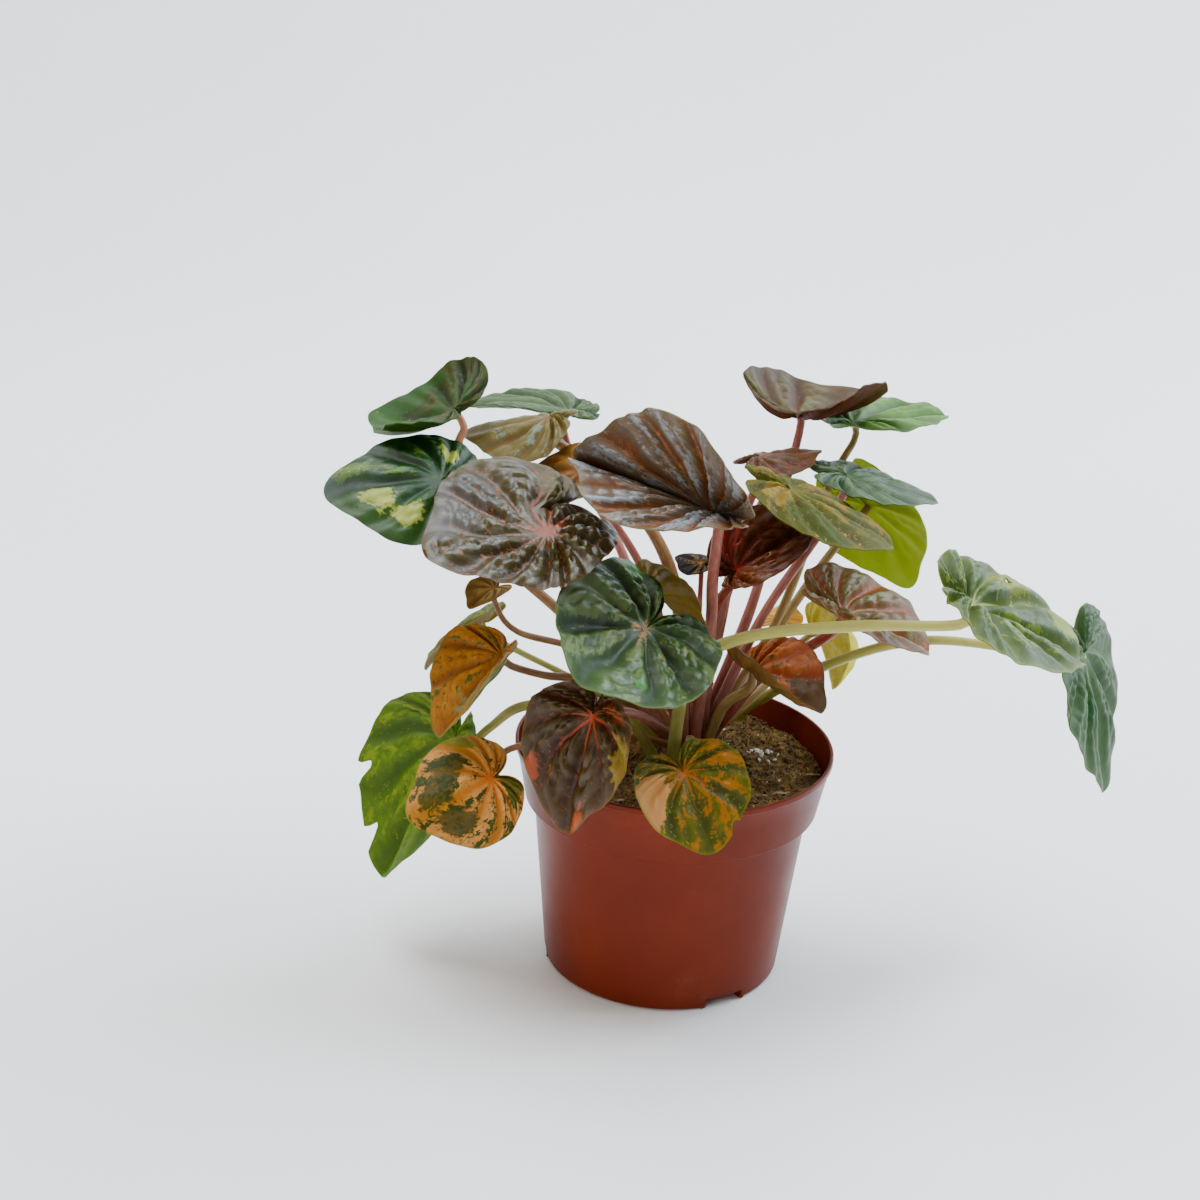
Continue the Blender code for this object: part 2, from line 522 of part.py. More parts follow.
def add_soil():
    """The soil fills the pot from its floor up, clear of the walls by the gap."""
    shelf = BAND_BOTTOM_HEIGHT + WALL + GAP
    wall = WALL + GAP
    sides = [
        (band_radius(SOIL_TOP - 4) - wall, None),
        (BAND_BOTTOM_RADIUS - wall, shelf),
        (WALL_TOP_RADIUS - wall, shelf),
        (outer_radius(FLOOR + 1.5) - wall, FLOOR + 1.5),
        (BASE_RADIUS - wall - 1.5, FLOOR + GAP),
        (0, FLOOR + GAP),
    ]
    points = [(0, 0, soil_height(0, 0))]
    turns = 2 * math.pi * np.arange(SOIL_SIDES) / SOIL_SIDES
    for ring in range(1, SOIL_RINGS + 1):
        radius = sides[0][0] * ring / SOIL_RINGS
        for turn in turns:
            x, y = radius * math.cos(turn), radius * math.sin(turn)
            height = soil_height(x, y) - (1.5 if ring == SOIL_RINGS else 0)
            points.append((x, y, height))
    for radius, height in sides[1:-1]:
        points.extend((radius * math.cos(turn), radius * math.sin(turn), height) for turn in turns)
    points.append((0, 0, sides[-1][1]))
    faces = [(0, 1 + k, 1 + (k + 1) % SOIL_SIDES) for k in range(SOIL_SIDES)]
    rows = SOIL_RINGS + len(sides) - 2
    for row in range(rows - 1):
        inner = 1 + row * SOIL_SIDES
        for k in range(SOIL_SIDES):
            after = (k + 1) % SOIL_SIDES
            faces.append((inner + k, inner + k + SOIL_SIDES, inner + after + SOIL_SIDES))
            faces.append((inner + k, inner + after + SOIL_SIDES, inner + after))
    last = 1 + (rows - 1) * SOIL_SIDES
    bottom = len(points) - 1
    faces.extend((bottom, last + (k + 1) % SOIL_SIDES, last + k) for k in range(SOIL_SIDES))
    soil = add_object("soil", points, faces)

    cutters = channel_bars(GAP, CHANNEL_HEIGHT + WALL + GAP)
    hole_profile = [
        (0, POT_HEIGHT + 10),
        (CROWN_RADIUS + GAP, POT_HEIGHT + 10),
        (CROWN_RADIUS + GAP, CROWN_FOOT - GAP),
        (0, CROWN_FOOT - GAP),
    ]
    hole, hole_faces = turned(hole_profile, 24)
    cutters.append(add_object("crown_hole", hole, hole_faces, at=(*CROWN_AT, 0)))
    for stalk in PALE_STALKS:
        foot = np.array((*stalk.root, SOIL_TOP - STALK_ROOT_DEPTH - GAP))
        top = np.array((*stalk.root, SOIL_TOP + 8))
        radius = stalk.foot_radius + GAP
        hole, hole_faces = tube(np.array([foot, top]), (radius, radius), 12)
        cutters.append(add_object("stalk_hole", hole, hole_faces))
    combine(soil, cutters, "DIFFERENCE")
    soil.data.materials.append(material(PEAT))
    return soil


def add_crown():
    """The crown with every rosy stalk grown into it, as one body."""
    profile = [
        (0, CROWN_TOP),
        (CROWN_RADIUS * 0.55, CROWN_TOP - 1.2),
        (CROWN_RADIUS, CROWN_TOP - 6.0),
        (CROWN_RADIUS * 0.85, CROWN_FOOT),
        (0, CROWN_FOOT),
    ]
    points, faces = turned(profile, 12)
    crown = add_object("crown_with_rosy_stalks", points, faces, at=(*CROWN_AT, 0))
    stalks = []
    for stalk in ROSY_STALKS:
        points, faces = stalk_tube(stalk, CROWN_TOP - 5)
        stalks.append(add_object("stalk", points, faces))
    combine(crown, stalks, "UNION", "MANIFOLD")
    crown.data.materials.append(material(ROSE))
    crown.data.shade_smooth()
    crown.data.set_sharp_from_angle(angle=math.radians(65))
    return crown


def add_pale_stalks():
    """The pale green stalks, each standing in a hole of its own in the soil."""
    for stalk in PALE_STALKS:
        upright = Stalk(
            stalk.leaf,
            stalk.root,
            [(*stalk.root, SOIL_TOP - 2), (*stalk.root, SOIL_TOP + 5), *stalk.through],
            stalk.foot_radius,
            stalk.top_radius,
        )
        points, faces = stalk_tube(upright, SOIL_TOP - STALK_ROOT_DEPTH)
        add_object(stalk.leaf.replace("leaf_", "stalk_"), points, faces, PALE_STALK, 65)


def main():
    clear_scene()
    add_pot()
    add_soil()
    add_crown()
    add_pale_stalks()
    for leaf in LEAVES:
        add_leaf(leaf)


main()
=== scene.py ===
"""The looks of a ripple peperomia in its nursery pot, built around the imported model.

Sizes and places are in millimetres and degrees, as in the part's source, and every mesh is scaled
to metres. Only the lights are placed in metres.
"""

import json
import math
from collections import namedtuple

import bpy
import numpy as np
from mathutils import Matrix, Vector

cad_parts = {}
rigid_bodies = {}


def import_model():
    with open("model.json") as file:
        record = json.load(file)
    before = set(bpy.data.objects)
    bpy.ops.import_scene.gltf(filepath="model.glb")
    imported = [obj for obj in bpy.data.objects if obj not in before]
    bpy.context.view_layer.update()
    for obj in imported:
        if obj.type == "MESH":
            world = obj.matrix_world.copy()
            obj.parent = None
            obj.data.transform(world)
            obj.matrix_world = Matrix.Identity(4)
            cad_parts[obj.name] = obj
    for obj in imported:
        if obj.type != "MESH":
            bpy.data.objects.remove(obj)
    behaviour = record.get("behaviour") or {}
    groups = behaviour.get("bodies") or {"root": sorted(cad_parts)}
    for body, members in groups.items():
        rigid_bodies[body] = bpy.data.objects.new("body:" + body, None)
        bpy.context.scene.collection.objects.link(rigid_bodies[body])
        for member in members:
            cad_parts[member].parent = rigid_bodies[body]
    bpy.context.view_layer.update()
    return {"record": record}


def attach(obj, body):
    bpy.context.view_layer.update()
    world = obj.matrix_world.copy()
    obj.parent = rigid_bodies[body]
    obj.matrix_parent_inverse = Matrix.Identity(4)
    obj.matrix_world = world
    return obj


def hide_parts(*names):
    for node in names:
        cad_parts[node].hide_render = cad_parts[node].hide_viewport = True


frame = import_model()

MM = 0.001
GAP = 0.3

# The camera, as fitted to the pot's outline in the photograph.
CAMERA_TARGET = (-31.0, 0.0, 145.3)
CAMERA_DISTANCE = 850.0
CAMERA_ELEVATION = 21.5
CAMERA_ROLL = 3.2
SENSOR = 36.0
FOCAL_SHARE = 2310 / 1200

# The floor, which sweeps up into the backdrop.
STAGE_FRONT = -1500
STAGE_MIDDLE = 300
STAGE_BACK = 900
STAGE_HALF_WIDTH = 2600
SWEEP = 500
SWEEP_STEPS = 12
BACKDROP_TOP = 2200

# The pot: a 12 cm tapered nursery pot with a wide band under its rim.
POT_HEIGHT = 90.0
RIM_RADIUS = 60.0
BAND_BOTTOM_RADIUS = 55.5
BAND_BOTTOM_HEIGHT = 67.5
WALL_TOP_RADIUS = 52.0
BASE_RADIUS = 45.0
WALL = 1.3
FLOOR = 1.8
LIP = 0.7
POT_SIDES = 192
DRAIN_SIDES = 32

# Three channels under the floor carry water from the drain holes to notches in the pot's foot.
CHANNELS = 3
CHANNEL_HEADING = -58.0
CHANNEL_WIDTH = 16.0
CHANNEL_HEIGHT = 4.2
CHANNEL_START = 21.0
DRAIN_RADIUS = 3.5
DRAIN_DISTANCE = 33.0

# The soil's surface, the crown that all the rosy stalks grow from, and the stalks' roots; then
# how finely the stalks and the crown are made.
SOIL_TOP = 82.0
SOIL_RIPPLE = 1.1
CROWN_AT = (6.0, 8.0)
CROWN_RADIUS = 11.0
CROWN_TOP = 90.0
CROWN_FOOT = 72.0
STALK_ROOT_DEPTH = 9.0
STALK_SIDES = 16
STALK_STEP = 2.5
CROWN_SIDES = 48
CROWN_STEPS = 12

# How finely the soil is made, and what lies on it: how many crumbs, fibres and grains of grit,
# where more grit lies together, and the bark chips by their place, length, width and heading.
SOIL_RINGS = 58
SOIL_SIDES = 220
SOIL_FOOT = 8.0
CRUMBS = 2600
CRUMB_SIZES = [0.45, 0.7, 1.0, 1.5]
CRUMB_SHARES = [0.4, 0.35, 0.19, 0.06]
FIBRES = 420
FIBRE_STEPS = 6
FIBRE_SIDES = 4
LOOSE_GRIT = 46
HEAPED_GRIT = 26
GRIT_AT = (33.0, 8.0)
CHIPS = [
    (52.0, -8.0, 6.0, 1.6, 5),
    (40.0, -22.0, 6.5, 2.4, 20),
    (33.0, -27.0, 5.0, 1.8, -15),
    (24.0, -36.0, 5.0, 2.0, 40),
    (-20.0, -38.0, 6.0, 2.0, 10),
    (-38.0, 12.0, 5.5, 2.2, 70),
    (10.0, 42.0, 6.5, 2.2, -30),
    (-12.0, 36.0, 5.0, 1.8, 15),
]

# The blades: a heart about the point where the stalk meets it, with veins pressed in as valleys.
BLADE_THICKNESS = 0.9
HEART_BODY = 0.62
HEART_LEAN = 0.20
HEART_TIP = 0.18
ROUND_TIP = 0.06
HEART_TIP_SPREAD = math.radians(16)
HEART_SINUS = 0.30
HEART_SINUS_SPREAD = math.radians(15)
VEIN_ARCH = 0.45
RIPPLE_SHARE = 0.027
CREASE_ROUNDING = 1.0
LOBE_SHARE = 0.45

# The finer form of the blades: the size of a cell, the sectors from one vein to the next on
# small, middling and large blades, the margin, the puffs, the veins and where they meet.
LEAF_CELL = 1.15
SMALL_LEAF = 20
LARGE_LEAF = 44
SMALL_SECTORS = 8
SECTORS = 12
LARGE_SECTORS = 16
EDGE_THICKNESS = 0.45
QUILT_LENGTH = 8.0
VALLEY_SHARPNESS = 1.6
FORK_WIDTH = 0.26
VEIN_HALF_WIDTH = 0.5
HUB_RADIUS = 2.2
# The lengths of the slow waves that make a blade uneven: in the courses of its veins, in the
# places and the depth of its puffs, and in its height.
SWAY_WAVE = 30
SHIFT_WAVE = 17
DEPTH_WAVE = 22
HEIGHT_WAVE = 19
DENT_WAVE = 10

# Bites and nicks in the margins: the leaf, the direction from its stalk, half the width in
# degrees, and the share of its reach.
BITES = [
    ("leaf_low_left_green", -47.0, 3.8, 0.15),
    ("leaf_low_left_green", -15.0, 3.4, 0.13),
    ("leaf_front_low_variegated", -150.0, 6.0, 0.14),
    ("leaf_front_low_variegated", 22.0, 3.5, 0.08),
]
# Holes: the leaf, the direction from its stalk, the share of its reach, and its radius.
HOLES = [("leaf_far_right_variegated", 51.0, 0.74, 1.9)]
# Where the veins meet, in millimetres along the blade and across it, if not over the stalk.
HUBS = {"leaf_left_large_brown": (6.5, 9.5)}

Leaf = namedtuple(
    "Leaf",
    "name at heading pitch roll length width back fold droop curl lobes veins",
)

# Each leaf: the place where its stalk meets it; the heading of its tip, its pitch and its roll;
# the reach of its tip and its full width; the share that its lobes reach back; then the angles
# of its fold along the midrib, of its tip's droop, of its sides' curl and of its lobes' droop.
LEAVES = [
    Leaf("leaf_back_left_folded", (-89, 28, 206), 141, -30, -20, 39, 55, 0.55, 1, -41, -42, 37, 11),
    Leaf("leaf_left_green", (-91, -2, 189), -175, -3, -29, 43, 52, 0.85, 2, 14, 22, 3, 11),
    Leaf("leaf_back_left_pale", (-48, 77, 193), -179, 10, 7, 39, 49, 0.9, 11, 18, 6, -21, 11),
    Leaf("leaf_back_left_brown", (-54, 33, 204), 169, -16, -5, 35, 44, 0.75, -8, 0, 33, 10, 11),
    Leaf("leaf_left_large_brown", (-54, -28, 189), -151, -12, -18, 45, 71, 1.5, 3, 10, 13, 56, 13),
    Leaf("leaf_top_large_grey", (5, -36, 195), 143, 4, -55, 61, 74, 1.15, 76, 0, 37, -23, 13),
    Leaf("leaf_front_green", (-15, -48, 154), -124, -14, -34, 50, 61, 1.45, 1, -28, -19, 36, 11),
    Leaf("leaf_left_small_brown", (-70, -4, 149), -130, -10, -2, 14, 17, 1.0, 13, 18, -9, 11, 9),
    Leaf("leaf_back_centre_olive", (-41, 8, 192), 150, -10, -35, 24, 28, 0.9, 5, 12, 20, 0, 9),
    Leaf("leaf_left_orange", (-66, -15, 127), -142, -44, 6, 38, 44, 0.55, 25, 2, -11, -8, 11),
    Leaf("leaf_left_small_olive", (-75, 19, 126), 179, -33, 13, 30, 37, 0.9, 14, 23, 3, -7, 9),
    Leaf("leaf_low_left_green", (-83, 7, 82), -146, -58, -4, 61, 67, 0.7, 27, 0, 9, -38, 11),
    Leaf("leaf_low_left_variegated", (-67, -35, 87), -153, -19, -52, 34, 48, 0.85, -14, -2, 36, 16, 11),
    Leaf("leaf_front_dark", (-31, -55, 123), -130, -70, -4, 44, 47, 0.75, 28, 11, 18, -25, 11),
    Leaf("leaf_front_low_variegated", (2, -55, 103), -55, -41, 16, 31, 42, 0.95, 8, 26, -7, 22, 11),
    Leaf("leaf_centre_brown", (-12, -10, 155), -17, -38, -32, 26, 43, 1.1, 26, -6, 13, 6, 9),
    Leaf("leaf_back_small_olive", (7, 39, 147), 146, 4, -13, 12, 15, 1.05, 3, 8, 26, -11, 9),
    Leaf("leaf_right_dark_red", (18, -8, 163), 31, 26, 34, 37, 37, 0.8, 42, 16, 1, -18, 11),
    Leaf("leaf_back_right_maroon", (26, 34, 193), 24, 6, -6, 26, 32, 0.95, -11, 9, 7, 18, 9),
    Leaf("leaf_right_yellow_green", (35, -10, 195), -3, -17, 0, 49, 54, 0.94, 1, 20, 20, -1, 11),
    Leaf("leaf_right_grey_green", (59, 30, 188), 4, -10, -1, 36, 45, 1.05, 0, 6, 4, 4, 11),
    Leaf("leaf_top_right_folded", (41, 54, 204), 48, -4, -7, 42, 65, 0.55, 0, -17, -53, -39, 11),
    Leaf("leaf_top_right_pale", (64, 70, 197), 13, 1, -4, 44, 52, 1.02, 19, -6, 22, -19, 11),
    Leaf("leaf_back_right_lime", (72, 68, 164), 3, -57, -54, 38, 46, 1.55, -2, 8, 17, 5, 11),
    Leaf("leaf_right_folded", (60, 8, 142), -4, -25, 4, 41, 53, 1.26, 35, -6, 36, 6, 11),
    Leaf("leaf_far_right_variegated", (100, -32, 163), 4, -26, 9, 54, 64, 0.86, 29, 0, 46, -10, 11),
    Leaf("leaf_far_right_hanging", (148, -2, 135), -6, -70, 20, 58, 55, 0.75, 1, 10, -1, -6, 11),
    Leaf("leaf_centre_small_lime", (38, 45, 124), 68, 22, -16, 11, 20, 1.0, 1, 18, 40, -1, 9),
    Leaf("leaf_right_low_olive", (55, 57, 114), -41, -43, -38, 24, 40, 1.25, 44, 32, 9, -2, 9),
    Leaf("leaf_right_low_orange", (28, 5, 118), -54, -9, -6, 40, 42, 0.7, 31, -14, -25, -13, 11),
]
LEAF = {leaf.name: leaf for leaf in LEAVES}

# These blades end in a round tip; the others are drawn out to a short point.
ROUND_TIPS = (
    "leaf_right_folded",
    "leaf_right_yellow_green",
    "leaf_top_right_pale",
    "leaf_far_right_variegated",
)

Stalk = namedtuple("Stalk", "leaf root through foot_radius top_radius")

# Each stalk: its leaf, where it leaves the crown or the soil, the places that it passes, and
# its radius at the foot and at the leaf.
ROSY_STALKS = [
    Stalk("leaf_back_left_folded", (0, 10), [(-31, 21, 134), (-82, 24, 185)], 2.4, 1.5),
    Stalk("leaf_left_green", (-1, 8), [(-40, 4, 133), (-83, 3, 169)], 2.4, 1.6),
    Stalk("leaf_back_left_pale", (3, 12), [(-22, 34, 148), (-42, 64, 173)], 2.2, 1.4),
    Stalk("leaf_back_left_brown", (4, 10), [(-4, 14, 149), (-26, 26, 180)], 2.6, 2.0),
    Stalk("leaf_left_large_brown", (-1, 6), [(-30, -6, 130), (-46, -11, 158)], 2.6, 1.8),
    Stalk("leaf_top_large_grey", (7, 4), [(10, -3, 136), (9, -15, 162)], 2.4, 1.8),
    Stalk("leaf_front_green", (3, 2), [(0, -6, 115)], 2.4, 1.7),
    Stalk("leaf_left_small_brown", (0, 9), [(-30, 4, 120), (-61, 0, 131)], 1.6, 1.1),
    Stalk("leaf_back_centre_olive", (2, 11), [(-12, 14, 145)], 1.9, 1.3),
    Stalk("leaf_left_orange", (-1, 7), [(-28, 0, 111), (-50, -7, 117)], 1.8, 1.3),
    Stalk("leaf_low_left_variegated", (-1, 4), [(-23, -9, 95), (-61, -17, 91)], 1.7, 1.2),
    Stalk("leaf_front_dark", (2, 3), [(-5, -12, 100), (-18, -34, 116)], 2.2, 1.6),
    Stalk("leaf_front_low_variegated", (6, 1), [(5, -16, 98)], 1.9, 1.3),
    Stalk("leaf_centre_brown", (4, 5), [(-1, 6, 116), (-17, -8, 145)], 1.9, 1.3),
    Stalk("leaf_back_small_olive", (6, 14), [(7, 26, 120)], 1.3, 0.9),
    Stalk("leaf_right_dark_red", (9, 6), [(11, 7, 137)], 2.2, 1.5),
    Stalk("leaf_back_right_maroon", (8, 11), [(15, 20, 131), (20, 31, 165)], 2.4, 1.5),
    Stalk("leaf_right_yellow_green", (10, 8), [(13, 12, 133), (27, 8, 185)], 2.6, 1.7),
    Stalk("leaf_right_grey_green", (11, 10), [(30, 20, 133), (51, 33, 165)], 2.2, 1.4),
    Stalk("leaf_top_right_folded", (9, 13), [(26, 27, 133), (35, 46, 167)], 2.4, 1.4),
    Stalk("leaf_top_right_pale", (11, 13), [(37, 32, 128), (55, 56, 176)], 2.2, 1.4),
    Stalk("leaf_back_right_lime", (12, 12), [(33, 30, 117), (54, 50, 145)], 2.2, 1.5),
    Stalk("leaf_right_folded", (12, 9), [(30, 14, 111), (46, 15, 123)], 2.6, 1.8),
    Stalk("leaf_centre_small_lime", (10, 14), [(24, 33, 103), (31, 40, 107)], 1.4, 1.0),
    Stalk("leaf_right_low_olive", (12, 12), [(34, 30, 101)], 1.9, 1.3),
    Stalk("leaf_right_low_orange", (12, 6), [(18, 6, 103)], 2.2, 1.6),
]
PALE_STALKS = [
    Stalk("leaf_left_small_olive", (-8, 13), [(-36, 12, 106), (-60, 9, 119)], 1.5, 1.1),
    Stalk("leaf_low_left_green", (-8, -8), [(-24, -7, 106), (-56, 3, 100), (-70, 12, 86)], 2.2, 1.6),
    Stalk(
        "leaf_far_right_variegated",
        (-1, -20),
        [(0, -21, 112), (4, -22, 132), (25, -23, 144), (62, -28, 152)],
        2.4,
        1.8,
    ),
    Stalk("leaf_far_right_hanging", (28, 39), [(60, 30, 113), (94, 14, 131)], 2.2, 1.6),
]

# A look has the colours of the vein valleys, of the puffs between them and of the veins
# themselves; then splashes and specks with the share each takes, the margin, the underside and
# the gloss; then how strongly the veins show, how deep the main valleys are as a multiple of the
# CAD's, the depth of the cross puffs in millimetres, and the zones. The colours of looks and
# zones are linear RGB in ten-thousandths.
COLOUR_UNIT = 10000
# How much brighter than the ridge colour the puff tops are painted: partly the leaf's own silver, partly a
# painted highlight.
SILVER_AND_HIGHLIGHT_GAIN = 1.6
LEAF_SHINE = 0.38
LOOK_COLOURS = ("valley", "ridge", "vein", "splash", "speck", "rim", "under")
Look = namedtuple(
    "Look",
    "valley ridge vein splash splash_share speck speck_share rim under gloss shown relief quilt "
    "zones",
    defaults=((),),
)
# A zone is a part of the blade with a colour of its own. With a size it is a spot of that
# radius, in one direction from the stalk and at that share of the reach. Without one it is all
# that lies beyond that share in the direction, or the middle where the direction is None.
Zone = namedtuple("Zone", "heading share size colour")

RUST = (1500, 340, 30)
OCHRE = (4200, 1400, 40)
CREAM = (4400, 4100, 600)
OLIVE_BROWN = (1000, 550, 60)
CREAM_LEAF = (3000, 3400, 400)
WEDGE_GREEN = (350, 480, 40)

